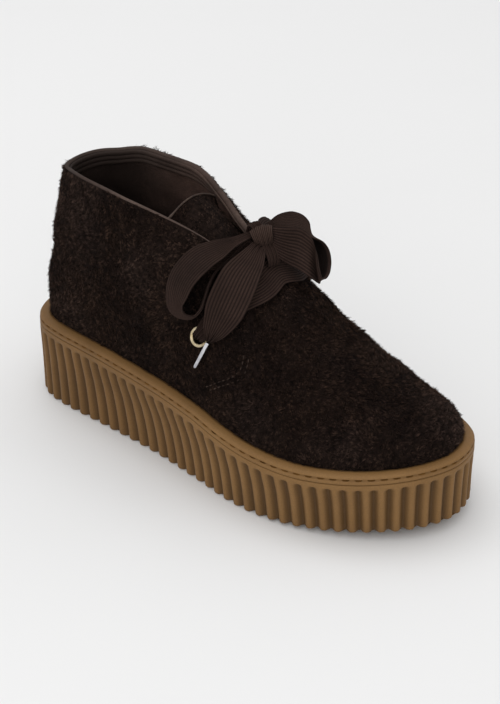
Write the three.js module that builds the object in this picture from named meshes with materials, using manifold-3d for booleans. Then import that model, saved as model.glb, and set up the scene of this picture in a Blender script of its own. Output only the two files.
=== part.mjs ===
// A chukka boot in long-nap suede on a ribbed platform sole, for the right foot, tied with a wide flat lace.
// Millimetres. The toe points along +X, up is +Z, and the outer (lateral) side of the foot is -Y.
import * as THREE from 'three';
import Module from 'manifold-3d';
import { mergeVertices } from 'three/addons/utils/BufferGeometryUtils.js';

const wasm = await Module();
wasm.setup();

// Sole
const soleLength = 267;
const ballWidth = 106;
const heelHeight = 50;
const soleEdgeRadius = 1.6;
const bandHeight = 2.4;
const ribsPerSide = 42;
const ribDepth = 2.7;
const ribRunOut = 3.6;
const ribLean = 2.5;
const waistTuck = 7;
const toeSpring = 6.5;
const springStart = 0.66;
const springCurve = 1.2;

// Welt
const weltWidth = 6.6;
const weltHeight = 5;
const stitchGroove = 0.8;

// Upper
const wall = 2;
const quarterStep = 1.1;
const collarHeight = 138;

// Insole and tongue
const insoleThickness = 3;
const tongueThickness = 2.4;
const tongueWidth = 54;

// Eyelets and lace
const eyeletBore = 7.4;
const eyeletWall = 0.6;
const eyeletFlange = 2.1;
const eyeletProud = 1;
const laceWidth = 21;
const laceThickness = 1.4;
const knotWidth = 14;
const agletDiameter = 3.2;

// Fits
const clearance = 0.3;

// The outline of the sole's top edge: along is a share of the sole's length from the heel,
// across a share of the ball's width from the heel's middle, with the outer side negative.
const outline = [
  { along: 0.000, across: 0.005 },
  { along: 0.010, across: -0.160 },
  { along: 0.034, across: -0.271 },
  { along: 0.069, across: -0.336 },
  { along: 0.124, across: -0.370 },
  { along: 0.202, across: -0.392 },
  { along: 0.341, across: -0.425 },
  { along: 0.502, across: -0.468 },
  { along: 0.652, across: -0.487 },
  { along: 0.775, across: -0.443 },
  { along: 0.891, across: -0.307 },
  { along: 0.970, across: -0.099 },
  { along: 0.998, across: 0.110 },
  { along: 0.970, across: 0.325 },
  { along: 0.890, across: 0.460 },
  { along: 0.779, across: 0.525 },
  { along: 0.652, across: 0.519 },
  { along: 0.502, across: 0.455 },
  { along: 0.341, across: 0.390 },
  { along: 0.202, across: 0.355 },
  { along: 0.124, across: 0.342 },
  { along: 0.069, across: 0.311 },
  { along: 0.034, across: 0.255 },
  { along: 0.010, across: 0.156 },
];

// The sole's height and how far its foot is tucked in under its top edge:
// height is a share of the heel's height, and the tucks are shares of the waist's.
const soleRows = [
  { along: 0.0, height: 0.96, tuckOuter: 0.1, tuckInner: 0.1 },
  { along: 0.08, height: 0.975, tuckOuter: 0.2, tuckInner: 0.2 },
  { along: 0.28, height: 1.005, tuckOuter: 0.75, tuckInner: 0.9 },
  { along: 0.42, height: 1.0, tuckOuter: 1.0, tuckInner: 1.25 },
  { along: 0.52, height: 0.955, tuckOuter: 0.85, tuckInner: 1.1 },
  { along: 0.6, height: 0.865, tuckOuter: 0.6, tuckInner: 0.7 },
  { along: 0.68, height: 0.795, tuckOuter: 0.45, tuckInner: 0.45 },
  { along: 0.78, height: 0.765, tuckOuter: 0.4, tuckInner: 0.3 },
  { along: 0.88, height: 0.795, tuckOuter: 0.4, tuckInner: 0.1 },
  { along: 1.0, height: 0.86, tuckOuter: 0.1, tuckInner: 0.1 },
];

// The upper's sections, from the heel's back (round 0) to the toe's tip (round 1).
// spine and edgeHeight are shares of the sole's length and of the collar's height.
// edge, swell and shoulder are shares of the distance from the spine to the welt,
// swellRise and shoulderRise shares of the rise from the welt to the edge.
const upperColumns = [
  'round', 'spine', 'edgeHeight', 'edge', 'swell', 'swellRise', 'shoulder', 'shoulderRise',
];
const upperRows = table(upperColumns, [
  // The heel
  [0.00, 0.140, 0.955, 0.76, 1.01, 0.35, 0.86, 0.70],
  [0.06, 0.142, 0.960, 0.72, 0.99, 0.35, 0.84, 0.70],
  [0.12, 0.160, 0.975, 0.645, 0.98, 0.35, 0.80, 0.70],
  // The collar's sides
  [0.20, 0.210, 1.000, 0.76, 1.02, 0.35, 0.90, 0.70],
  [0.30, 0.305, 1.000, 0.77, 1.08, 0.36, 0.92, 0.72],
  [0.38, 0.390, 0.955, 0.55, 1.10, 0.42, 0.84, 0.80],
  // The throat
  [0.44, 0.460, 0.895, 0.34, 1.10, 0.46, 0.72, 0.88],
  [0.50, 0.530, 0.830, 0.24, 1.10, 0.50, 0.60, 0.93],
  [0.54, 0.575, 0.790, 0.20, 1.10, 0.52, 0.54, 0.96],
  // The vamp
  [0.56, 0.598, 0.765, 0.00, 1.10, 0.53, 0.52, 0.98],
  [0.62, 0.670, 0.665, 0.00, 1.10, 0.55, 0.48, 1.00],
  [0.70, 0.760, 0.560, 0.00, 1.09, 0.57, 0.50, 1.00],
  // The toe
  [0.80, 0.835, 0.468, 0.00, 1.05, 0.57, 0.56, 1.00],
  [0.90, 0.860, 0.462, 0.00, 1.06, 0.55, 0.60, 0.95],
  [1.00, 0.860, 0.460, 0.00, 1.08, 0.53, 0.62, 0.94],
]);

// The line of the spine seen from above, and the tongue's crest and spread over it:
// along is a share of the sole's length, across of the ball's width, crest of the collar's height.
const spineRows = [
  { along: 0.0, across: 0.0 },
  { along: 0.25, across: 0.0 },
  { along: 0.45, across: 0.0 },
  { along: 0.6, across: 0.0 },
  { along: 0.75, across: 0.035 },
  { along: 0.86, across: 0.085 },
];
const tongueRows = [
  { along: 0.64, crest: 0.684, spread: 0.46, droop: 0.06 },
  { along: 0.59, crest: 0.742, spread: 0.6, droop: 0.08 },
  { along: 0.53, crest: 0.802, spread: 0.74, droop: 0.1 },
  { along: 0.47, crest: 0.862, spread: 0.82, droop: 0.115 },
  { along: 0.42, crest: 0.918, spread: 0.8, droop: 0.12 },
  { along: 0.38, crest: 0.965, spread: 0.7, droop: 0.1 },
  { along: 0.365, crest: 0.98, spread: 0.62, droop: 0.06 },
];

// The front edge of the quarters, over the vamp: up is the share of the section from the welt to the edge,
// round the place of the edge in the sections.
const quarterEdge = [
  { up: 0.0, round: 0.49 },
  { up: 0.2, round: 0.57 },
  { up: 0.4, round: 0.61 },
  { up: 0.52, round: 0.6 },
  { up: 0.64, round: 0.565 },
  { up: 0.8, round: 0.545 },
  { up: 1.0, round: 0.54 },
];

// The eyelets, on each side: round and up as for the sections.
const eyeletRows = [
  { name: 'lower', round: 0.505, up: 0.4 },
  { name: 'upper', round: 0.44, up: 0.7 },
];

// The lace's two bars over the instep. The rows go up from the eyelet, as for the sections, and lift is
// measured from the upper. The middle row is over the spine: along and crest are shares of the sole's length
// and of the collar's height, and tilt is the angle down from level across the lace there, in degrees.
const barRows = {
  lower: {
    rows: [
      { round: 0.508, up: 0.41, lift: 4.2, width: 0.32 },
      { round: 0.523, up: 0.56, lift: 3.9, width: 0.65 },
      { round: 0.536, up: 0.74, lift: 3, width: 0.75 },
      { round: 0.546, up: 0.92, lift: 3.6, width: 0.76 },
    ],
    middle: { along: 0.583, crest: 0.816, width: 0.72, tilt: 45 },
  },
  upper: {
    rows: [
      { round: 0.442, up: 0.71, lift: 4.4, width: 0.32 },
      { round: 0.457, up: 0.82, lift: 4.1, width: 0.5 },
      { round: 0.485, up: 0.96, lift: 3.2, width: 0.55 },
    ],
    middle: { along: 0.54, crest: 0.884, width: 0.55, tilt: 25 },
  },
};

// The bow. Places are in millimetres from the heel's back, bx, by and bz give the direction across the lace,
// and width is a share of the lace's width.
const knotPlace = { x: 146, y: 0, z: 129.5 };
const bowRows = {
  lace_loop_outer: [
    { x: 141.5, y: -6, z: 129.5, bx: 0.85, by: 0.1, bz: -0.5, width: 0.42 },
    { x: 137, y: -15, z: 129, bx: 0.9, by: 0, bz: -0.45, width: 0.6 },
    { x: 133, y: -27, z: 125, bx: 0.9, by: 0.05, bz: -0.4, width: 0.76 },
    { x: 129.5, y: -35.5, z: 119, bx: 0.9, by: 0.05, bz: -0.4, width: 0.82 },
    { x: 128, y: -41, z: 110.5, bx: 0.9, by: 0.05, bz: -0.4, width: 0.85 },
    { x: 128.5, y: -44, z: 102, bx: 0.93, by: 0.1, bz: -0.3, width: 0.85 },
    { x: 131.5, y: -42.5, z: 96.5, bx: 0.95, by: 0.15, bz: -0.2, width: 0.85 },
    { x: 134, y: -38, z: 98.5, bx: 0.95, by: 0.15, bz: -0.2, width: 0.85 },
    { x: 135, y: -33.5, z: 106, bx: 0.95, by: 0.15, bz: -0.2, width: 0.8 },
    { x: 136.5, y: -28, z: 114, bx: 0.93, by: 0.15, bz: -0.3, width: 0.75 },
    { x: 138.5, y: -20, z: 121, bx: 0.9, by: 0.1, bz: -0.4, width: 0.6 },
    { x: 141.5, y: -7.5, z: 124.5, bx: 0.85, by: 0.1, bz: -0.5, width: 0.4 },
  ],
  lace_end_outer: [
    { x: 148.5, y: -6.5, z: 126, bx: 0.85, by: 0.4, bz: -0.3, width: 0.4 },
    { x: 150.5, y: -14.5, z: 122.5, bx: 0.85, by: 0.4, bz: -0.3, width: 0.72 },
    { x: 151.3, y: -23, z: 117.5, bx: 0.85, by: 0.4, bz: -0.3, width: 0.95 },
    { x: 151.8, y: -30.5, z: 110, bx: 0.85, by: 0.4, bz: -0.3, width: 1 },
    { x: 151, y: -36, z: 101.5, bx: 0.85, by: 0.4, bz: -0.3, width: 0.95 },
    { x: 148.5, y: -39.8, z: 92, bx: 0.85, by: 0.4, bz: -0.3, width: 0.6 },
    { x: 146.3, y: -41.5, z: 86, bx: 0.85, by: 0.4, bz: -0.3, width: 0.18 },
  ],
  lace_loop_inner: [
    { x: 148.5, y: 7, z: 133, bx: 0.3, by: -0.3, bz: -0.9, width: 0.45 },
    { x: 151.5, y: 14, z: 133, bx: 0.6, by: -0.2, bz: -0.7, width: 0.7 },
    { x: 153, y: 23, z: 129, bx: 0.9, by: -0.1, bz: -0.3, width: 0.8 },
    { x: 153.5, y: 31, z: 121, bx: 1, by: 0, bz: 0, width: 0.82 },
    { x: 154, y: 35, z: 112.5, bx: 1, by: 0, bz: 0.1, width: 0.82 },
    { x: 155.5, y: 33, z: 105.5, bx: 1, by: 0, bz: 0.2, width: 0.82 },
    { x: 157.5, y: 27, z: 109.5, bx: 0.9, by: 0.1, bz: 0.5, width: 0.82 },
    { x: 157.5, y: 18.5, z: 117, bx: 0.6, by: 0.1, bz: 0.8, width: 0.75 },
    { x: 152.5, y: 7.5, z: 124, bx: 0.3, by: 0.1, bz: 0.95, width: 0.4 },
  ],
  lace_end_inner: [
    { x: 142, y: 6.5, z: 127, bx: 0.9, by: 0.1, bz: -0.3, width: 0.4 },
    { x: 138, y: 14, z: 126, bx: 0.9, by: 0.1, bz: -0.3, width: 0.7 },
    { x: 135, y: 24.5, z: 122, bx: 0.9, by: 0.1, bz: -0.3, width: 0.85 },
    { x: 133.5, y: 33, z: 113, bx: 0.95, by: 0.1, bz: -0.1, width: 0.9 },
    { x: 133, y: 38, z: 102.5, bx: 0.95, by: 0.1, bz: -0.1, width: 0.85 },
    { x: 132.5, y: 41, z: 92, bx: 0.95, by: 0.1, bz: -0.1, width: 0.55 },
    { x: 132, y: 42.2, z: 86, bx: 0.95, by: 0.1, bz: -0.1, width: 0.18 },
  ],
};
const agletRows = {
  aglet_outer: { from: { x: 146, y: -41.7, z: 85.3 }, to: { x: 140.2, y: -45.5, z: 70 } },
  aglet_inner: { from: { x: 131.9, y: 42.2, z: 85.2 }, to: { x: 131, y: 44.5, z: 69 } },
};

// Rows of numbers under the names of their columns.
function table(columns, rows) {
  return rows.map((row) => Object.fromEntries(columns.map((name, i) => [name, row[i]])));
}

// A smooth curve through a table's rows, without overshoot.
function valueAt(rows, key, column, at) {
  const last = rows.length - 1;
  const share = THREE.MathUtils.clamp(at, rows[0][key], rows[last][key]);
  let i = 0;
  while (i < last - 1 && share > rows[i + 1][key]) {
    i += 1;
  }
  const slope = (j) => (rows[j + 1][column] - rows[j][column]) / (rows[j + 1][key] - rows[j][key]);
  const tangent = (j) => {
    if (j === 0) {
      return slope(0);
    }
    if (j === last) {
      return slope(last - 1);
    }
    const before = slope(j - 1);
    const after = slope(j);
    return before * after <= 0 ? 0 : (2 * before * after) / (before + after);
  };
  const step = rows[i + 1][key] - rows[i][key];
  const t = (share - rows[i][key]) / step;
  const rise = rows[i + 1][column] - rows[i][column];
  const a = tangent(i) * step;
  const b = tangent(i + 1) * step;
  return rows[i][column] + t * (a + t * (3 * rise - 2 * a - b + t * (a + b - 2 * rise)));
}

// One side of the outline, from the heel's back to the toe's tip, measured by its length.
class SideLine {
  constructor(side) {
    const points = outline.map((p) => new THREE.Vector3(p.along * soleLength, p.across * ballWidth, 0));
    const loop = new THREE.CatmullRomCurve3(points, true, 'centripetal');
    const count = 400;
    this.points = [];
    for (let i = 0; i <= count; i += 1) {
      const half = (0.5 * i) / count;
      this.points.push(loop.getPoint(side < 0 ? half : (1 - half) % 1));
    }
    this.lengths = [0];
    for (let i = 1; i <= count; i += 1) {
      this.lengths.push(this.lengths[i - 1] + this.points[i].distanceTo(this.points[i - 1]));
    }
    this.length = this.lengths[count];
    this.side = side;
    this.name = side < 0 ? 'outer' : 'inner';
  }

  // The point at a share of the side's length, moved in by inset, with its outward direction.
  at(share, inset = 0) {
    const target = THREE.MathUtils.clamp(share, 0, 1) * this.length;
    let i = 1;
    while (i < this.lengths.length - 1 && this.lengths[i] < target) {
      i += 1;
    }
    const t = (target - this.lengths[i - 1]) / (this.lengths[i] - this.lengths[i - 1]);
    const point = this.points[i - 1].clone().lerp(this.points[i], t);
    const before = this.points[Math.max(i - 2, 0)];
    const after = this.points[Math.min(i + 1, this.points.length - 1)];
    const run = after.clone().sub(before).normalize();
    const out = new THREE.Vector3(run.y, -run.x, 0).multiplyScalar(-this.side);
    if (share <= 0) {
      out.set(-1, 0, 0);
    }
    if (share >= 1) {
      out.set(1, 0, 0);
    }
    return { point: point.addScaledVector(out, -inset), out };
  }
}

const outer = new SideLine(-1);
const inner = new SideLine(1);
const sides = [outer, inner];

function soleTop(x) {
  return heelHeight * valueAt(soleRows, 'along', 'height', x / soleLength);
}

function soleTuck(x, side) {
  const column = side < 0 ? 'tuckOuter' : 'tuckInner';
  return waistTuck * valueAt(soleRows, 'along', column, x / soleLength);
}

function soleBottom(x) {
  const past = Math.max(0, x / soleLength - springStart) / (1 - springStart);
  return toeSpring * past ** springCurve;
}

// A closed body from rings of points around the shoe. Each ring runs from the heel along the outer side to
// the toe and back along the inner side, and the first and last rings are closed by strips straight across.
function bodyFromRings(rings) {
  const count = rings[0].length;
  const positions = rings.flat().flatMap((p) => [p.x, p.y, p.z]);
  const index = [];
  for (let r = 0; r < rings.length - 1; r += 1) {
    for (let i = 0; i < count; i += 1) {
      const j = (i + 1) % count;
      const a = r * count + i;
      const b = r * count + j;
      index.push(a, b, b + count, a, b + count, a + count);
    }
  }
  const half = count / 2;
  for (const [start, up] of [[0, false], [(rings.length - 1) * count, true]]) {
    for (let i = 0; i < half; i += 1) {
      const a = start + i;
      const b = start + i + 1;
      const c = start + ((count - i) % count);
      const d = start + count - i - 1;
      const faces = i === 0 ? [[a, b, d]] : i === half - 1 ? [[a, b, c]] : [[a, b, d], [a, d, c]];
      for (const [p, q, s] of faces) {
        index.push(...(up ? [p, q, s] : [p, s, q]));
      }
    }
  }
  return tidy(positions, index);
}

// A geometry of merged points, without triangles that have no area. lifts gives each point its own lift.
function tidy(positions, index, lifts = null) {
  const raw = new THREE.BufferGeometry();
  raw.setAttribute('position', new THREE.Float32BufferAttribute(positions, 3));
  if (lifts) {
    raw.setAttribute('lift', new THREE.Float32BufferAttribute(lifts, 1));
  }
  raw.setIndex(index);
  const merged = mergeVertices(raw, 1e-4);
  const kept = [];
  const old = merged.index.array;
  for (let i = 0; i < old.length; i += 3) {
    const [a, b, c] = [old[i], old[i + 1], old[i + 2]];
    if (a !== b && b !== c && c !== a) {
      kept.push(a, b, c);
    }
  }
  merged.setIndex(kept);
  return merged;
}

// The columns of a ring: for each side, shares from the heel to the toe, the inner side's backwards.
function ringOf(columns, pointFor) {
  const ring = [];
  for (let i = 0; i < columns; i += 1) {
    ring.push(pointFor(outer, i / columns, i));
  }
  for (let i = columns; i > 0; i -= 1) {
    ring.push(pointFor(inner, i / columns, i));
  }
  return ring;
}

function makeOutsole() {
  const perRib = 4;
  const columns = ribsPerSide * perRib;
  const depths = [1, 0.3, 0, 0.3];
  // up is the share of the wall from the floor to the top of the ribs, rib how deep the grooves are there.
  const levels = [
    { up: 0, rib: 1, inset: soleEdgeRadius },
    { up: 0, lift: soleEdgeRadius, rib: 1, inset: 0 },
    { up: 0.45, rib: 1, inset: 0 },
    { up: 1, lift: -ribRunOut, rib: 1, inset: 0 },
    { up: 1, lift: 0, rib: 0, inset: 0 },
  ];
  const place = (line, share, i, level) => {
    const lean = (ribLean * Math.sin(Math.PI * share) ** 1.2 * level.up) / line.length;
    const foot = line.at(share);
    const topEnd = line.at(share - lean);
    const low = soleBottom(foot.point.x);
    const high = soleTop(topEnd.point.x) - weltHeight - clearance - bandHeight;
    const tuck = soleTuck(topEnd.point.x, line.side) * (1 - level.up ** 1.7);
    const groove = ribDepth * level.rib * depths[i % perRib];
    const spot = topEnd.point.addScaledVector(topEnd.out, -tuck - groove - level.inset);
    spot.z = low + (high - low) * level.up + (level.lift ?? 0);
    return spot;
  };
  const rings = levels.map((level) => ringOf(columns, (line, share, i) => place(line, share, i, level)));
  rings.push(
    ringOf(columns, (line, share) => {
      const lean = (ribLean * Math.sin(Math.PI * share) ** 1.2) / line.length;
      const { point } = line.at(share - lean);
      point.z = soleTop(point.x) - weltHeight - clearance;
      return point;
    }),
  );
  return bodyFromRings(rings);
}

function makeWelt() {
  const columns = 40;
  // out is measured from the upper, up from the welt's bottom.
  const profile = [
    { out: clearance, up: 0 },
    { out: weltWidth, up: 0 },
    { out: weltWidth, up: 0.38 * weltHeight },
    { out: weltWidth - stitchGroove, up: 0.52 * weltHeight },
    { out: weltWidth - 0.3 * stitchGroove, up: 0.64 * weltHeight },
    { out: 0.78 * weltWidth, up: 0.86 * weltHeight },
    { out: 0.5 * weltWidth, up: 0.96 * weltHeight },
    { out: clearance, up: weltHeight },
  ];
  const rings = profile.map(({ out, up }) =>
    ringOf(columns, (line, share) => {
      const { point } = line.at(share, weltWidth - out);
      point.z = soleTop(point.x) - weltHeight + up;
      return point;
    }),
  );
  const count = rings[0].length;
  const positions = rings.flat().flatMap((p) => [p.x, p.y, p.z]);
  const index = [];
  for (let r = 0; r < rings.length; r += 1) {
    const next = ((r + 1) % rings.length) * count;
    for (let i = 0; i < count; i += 1) {
      const j = (i + 1) % count;
      index.push(r * count + i, r * count + j, next + j, r * count + i, next + j, next + i);
    }
  }
  return tidy(positions, index);
}

function makeInsole() {
  const columns = 40;
  const inset = weltWidth + wall + clearance + 0.4;
  const level = (height) =>
    ringOf(columns, (line, share) => {
      const { point } = line.at(share, inset);
      point.z = soleTop(point.x) - weltHeight + height;
      return point;
    });
  return bodyFromRings([level(0), level(insoleThickness)]);
}

// A point of the upper's outside. round goes from the heel's back to the toe's tip,
// up from the top of the welt to the collar, the throat or the vamp's ridge.
function upperPoint(line, round, up) {
  const row = (column) => valueAt(upperRows, 'round', column, round);
  const spineX = row('spine') * soleLength;
  const spine = new THREE.Vector3(
    spineX,
    valueAt(spineRows, 'along', 'across', spineX / soleLength) * ballWidth,
    0,
  );
  const foot = line.at(round, weltWidth).point;
  const across = foot.clone().sub(spine);
  const low = soleTop(foot.x);
  const rise = row('edgeHeight') * collarHeight - low;
  const curve = new THREE.CubicBezierCurve(
    new THREE.Vector2(1, 0),
    new THREE.Vector2(row('swell'), row('swellRise')),
    new THREE.Vector2(row('shoulder'), row('shoulderRise')),
    new THREE.Vector2(row('edge'), 1),
  );
  const at = curve.getPoint(up);
  return spine.addScaledVector(across, at.x).setZ(low + rise * at.y);
}

// The direction out of the upper at a point of it.
function upperNormal(line, round, up) {
  const small = 0.004;
  const ahead = upperPoint(line, Math.min(round + small, 1), up);
  const behind = upperPoint(line, Math.max(round - small, 0), up);
  const above = upperPoint(line, round, Math.min(up + small, 1));
  const below = upperPoint(line, round, Math.max(up - small, 0));
  return ahead.sub(behind).cross(above.sub(below)).normalize().multiplyScalar(-line.side);
}

// A closed solid from a sheet of points: its front is lifted along its normals where the sheet says so,
// and its back is the sheet moved against its normals by thickness.
function thicken(sheet, thickness) {
  const front = tidy(sheet.positions, sheet.index, sheet.lifts);
  front.computeVertexNormals();
  const place = front.attributes.position;
  const normal = front.attributes.normal;
  const lift = front.attributes.lift;
  const count = place.count;
  const positions = [];
  const back = [];
  for (let i = 0; i < count; i += 1) {
    const p = new THREE.Vector3().fromBufferAttribute(place, i);
    const n = new THREE.Vector3().fromBufferAttribute(normal, i);
    positions.push(...p.clone().addScaledVector(n, lift ? lift.getX(i) : 0).toArray());
    back.push(...p.addScaledVector(n, -thickness).toArray());
  }
  positions.push(...back);
  const faces = front.index.array;
  const index = [...faces];
  const edges = new Set();
  for (let i = 0; i < faces.length; i += 3) {
    for (let k = 0; k < 3; k += 1) {
      edges.add(`${faces[i + k]} ${faces[i + ((k + 1) % 3)]}`);
    }
    index.push(faces[i] + count, faces[i + 2] + count, faces[i + 1] + count);
  }
  for (const edge of edges) {
    const [a, b] = edge.split(' ').map(Number);
    if (!edges.has(`${b} ${a}`)) {
      index.push(a, a + count, b, b, a + count, b + count);
    }
  }
  return tidy(positions, index);
}

function toSolid(geometry) {
  const bare = geometry.clone();
  bare.deleteAttribute('normal');
  bare.deleteAttribute('uv');
  const merged = mergeVertices(bare, 1e-4);
  return new wasm.Manifold(
    new wasm.Mesh({
      numProp: 3,
      vertProperties: Float32Array.from(merged.attributes.position.array),
      triVerts: Uint32Array.from(merged.index.array),
    }),
  );
}

function toGeometry(solid) {
  const mesh = solid.getMesh();
  const geometry = new THREE.BufferGeometry();
  geometry.setAttribute('position', new THREE.BufferAttribute(mesh.vertProperties.slice(), 3));
  geometry.setIndex(new THREE.BufferAttribute(mesh.triVerts.slice(), 1));
  return geometry;
}

// The upper: columns round the shoe, rows up it, with one column on the quarters' front edge. A skirt goes
// down inside the welt, and the quarters stand proud of the vamp by their step.
function makeUpper() {
  const before = 25;
  const after = 18;
  const columns = before + after;
  const rows = 10;
  const stride = rows + 2;
  const columnRound = (j, up) => {
    const edge = valueAt(quarterEdge, 'up', 'round', up);
    return j <= before ? (edge * j) / before : edge + ((1 - edge) * (j - before)) / after;
  };
  const positions = [];
  const lifts = [];
  const index = [];
  for (const line of sides) {
    const start = positions.length / 3;
    for (let j = 0; j <= columns; j += 1) {
      const skirt = upperPoint(line, columnRound(j, 0), 0);
      positions.push(skirt.x, skirt.y, soleTop(skirt.x) - weltHeight);
      lifts.push(0);
      for (let i = 0; i <= rows; i += 1) {
        const up = i / rows;
        positions.push(...upperPoint(line, columnRound(j, up), up).toArray());
        lifts.push(j < before && i > 1 ? quarterStep : 0);
      }
    }
    for (let j = 0; j < columns; j += 1) {
      for (let i = 0; i < rows + 1; i += 1) {
        const a = start + j * stride + i;
        const b = a + stride;
        if (line.side < 0) {
          index.push(a, b, b + 1, a, b + 1, a + 1);
        } else {
          index.push(a, b + 1, b, a, a + 1, b + 1);
        }
      }
    }
  }
  return thicken({ positions, index, lifts }, wall);
}

function makeTongue() {
  const rows = 11;
  const across = 8;
  const positions = [];
  const index = [];
  const first = tongueRows[0].along;
  const last = tongueRows[tongueRows.length - 1].along;
  const backwards = tongueRows.map((r) => ({ ...r, back: first - r.along }));
  for (let i = 0; i <= rows; i += 1) {
    const back = ((first - last) * i) / rows;
    const x = (first - back) * soleLength;
    const middle = valueAt(spineRows, 'along', 'across', x / soleLength) * ballWidth;
    const crest = valueAt(backwards, 'back', 'crest', back) * collarHeight;
    const half = (valueAt(backwards, 'back', 'spread', back) * tongueWidth) / 2;
    const droop = valueAt(backwards, 'back', 'droop', back) * collarHeight;
    for (let k = 0; k <= across; k += 1) {
      const c = (2 * k) / across - 1;
      positions.push(x, middle + c * half, crest - droop * c * c);
    }
  }
  for (let i = 0; i < rows; i += 1) {
    for (let k = 0; k < across; k += 1) {
      const a = i * (across + 1) + k;
      const b = a + across + 1;
      index.push(a, a + 1, b + 1, a, b + 1, b);
    }
  }
  return thicken({ positions, index }, tongueThickness);
}

// The way out of the upper at an eyelet, with the place of its middle on the quarter's outside.
function eyeletSeat(line, { round, up }) {
  const out = upperNormal(line, round, up);
  return { place: upperPoint(line, round, up).addScaledVector(out, quarterStep), out };
}

function placeAlong(geometry, place, out) {
  geometry.applyQuaternion(new THREE.Quaternion().setFromUnitVectors(new THREE.Vector3(0, 1, 0), out));
  return geometry.translate(place.x, place.y, place.z);
}

// The upper with its eyelet holes cut.
function makeUpperWithHoles() {
  const cutLength = 20;
  let solid = toSolid(makeUpper());
  for (const line of sides) {
    for (const row of eyeletRows) {
      const { place, out } = eyeletSeat(line, row);
      const radius = eyeletBore / 2 + eyeletWall + clearance;
      const drill = placeAlong(new THREE.CylinderGeometry(radius, radius, cutLength, 12), place, out);
      solid = solid.subtract(toSolid(drill));
    }
  }
  return toGeometry(solid);
}

// An eyelet: a barrel through the quarter with a rounded flange outside.
function makeEyelet(line, row) {
  const { place, out } = eyeletSeat(line, row);
  const bore = eyeletBore / 2;
  const barrel = bore + eyeletWall;
  const rim = barrel + eyeletFlange;
  const seat = 2 * clearance;
  const depth = wall + quarterStep;
  const profile = [
    [bore, -depth],
    [barrel, -depth],
    [barrel, seat],
    [rim, seat],
    [rim - 0.4 * eyeletFlange, seat + eyeletProud],
    [bore, seat + 0.6 * eyeletProud],
    [bore, -depth],
  ].map(([r, h]) => new THREE.Vector2(r, h));
  const ring = new THREE.LatheGeometry(profile, 12);
  ring.deleteAttribute('normal');
  ring.deleteAttribute('uv');
  return placeAlong(mergeVertices(ring, 1e-4), place, out);
}

// A lace laid along places with the direction across it at each: an eight-sided flat section.
function makeRibbon(rows, steps) {
  const route = new THREE.CatmullRomCurve3(rows.map((r) => r.place), false, 'centripetal');
  const section = [
    [1, 0.25],
    [0.82, 1],
    [-0.82, 1],
    [-1, 0.25],
    [-1, -0.25],
    [-0.82, -1],
    [0.82, -1],
    [1, -0.25],
  ];
  const positions = [];
  const index = [];
  const count = section.length;
  for (let i = 0; i <= steps; i += 1) {
    const t = i / steps;
    const place = route.getPoint(t);
    const run = route.getTangent(t);
    const at = t * (rows.length - 1);
    const k = Math.min(Math.floor(at), rows.length - 2);
    const across = rows[k].across.clone().lerp(rows[k + 1].across, at - k);
    across.addScaledVector(run, -across.dot(run)).normalize();
    const face = run.clone().cross(across);
    const half = (THREE.MathUtils.lerp(rows[k].width, rows[k + 1].width, at - k) * laceWidth) / 2;
    for (const [a, b] of section) {
      const p = place.clone().addScaledVector(across, a * half);
      positions.push(...p.addScaledVector(face, (b * laceThickness) / 2).toArray());
    }
  }
  for (let i = 0; i < steps; i += 1) {
    for (let j = 0; j < count; j += 1) {
      const a = i * count + j;
      const b = i * count + ((j + 1) % count);
      index.push(a, b, b + count, a, b + count, a + count);
    }
  }
  const end = steps * count;
  for (let j = 1; j < count - 1; j += 1) {
    index.push(0, j + 1, j, end, end + j, end + j + 1);
  }
  return outward(tidy(positions, index));
}

// Turns a closed body's faces out if they point in.
function outward(geometry) {
  const p = geometry.attributes.position;
  const f = geometry.index.array;
  const corner = (i) => new THREE.Vector3().fromBufferAttribute(p, f[i]);
  let volume = 0;
  for (let i = 0; i < f.length; i += 3) {
    volume += corner(i).dot(corner(i + 1).cross(corner(i + 2)));
  }
  if (volume < 0) {
    for (let i = 0; i < f.length; i += 3) {
      [f[i + 1], f[i + 2]] = [f[i + 2], f[i + 1]];
    }
  }
  return geometry;
}

// A bar of the lace over the instep, from one side's eyelet to the other's.
function makeBar({ rows, middle }) {
  const half = (line) =>
    rows.map(({ round, up, lift, width }) => {
      const out = upperNormal(line, round, up);
      const forward = upperPoint(line, round + 0.01, up).sub(upperPoint(line, round - 0.01, up)).normalize();
      return { place: upperPoint(line, round, up).addScaledVector(out, lift), across: forward, width };
    });
  const tilt = THREE.MathUtils.degToRad(middle.tilt);
  const over = {
    place: new THREE.Vector3(middle.along * soleLength, 0, middle.crest * collarHeight),
    across: new THREE.Vector3(Math.cos(tilt), 0, -Math.sin(tilt)),
    width: middle.width,
  };
  return makeRibbon([...half(outer), over, ...half(inner).reverse()], 16);
}

function makeKnot() {
  const knot = new THREE.SphereGeometry(knotWidth / 2, 12, 8);
  knot.scale(0.95, 1, 0.8);
  const places = knot.attributes.position;
  for (let i = 0; i < places.count; i += 1) {
    const pinch = 1 - 0.12 * Math.cos((2 * Math.PI * places.getY(i)) / knotWidth);
    places.setX(i, places.getX(i) * pinch);
  }
  knot.deleteAttribute('normal');
  knot.deleteAttribute('uv');
  knot.translate(knotPlace.x, knotPlace.y, knotPlace.z);
  const bare = mergeVertices(knot, 1e-4);
  return tidy(Array.from(bare.attributes.position.array), Array.from(bare.index.array));
}

function makeBowPiece(rows) {
  const placed = rows.map((r) => ({
    place: new THREE.Vector3(r.x, r.y, r.z),
    across: new THREE.Vector3(r.bx, r.by, r.bz),
    width: r.width,
  }));
  return makeRibbon(placed, 2 * rows.length);
}

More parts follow.
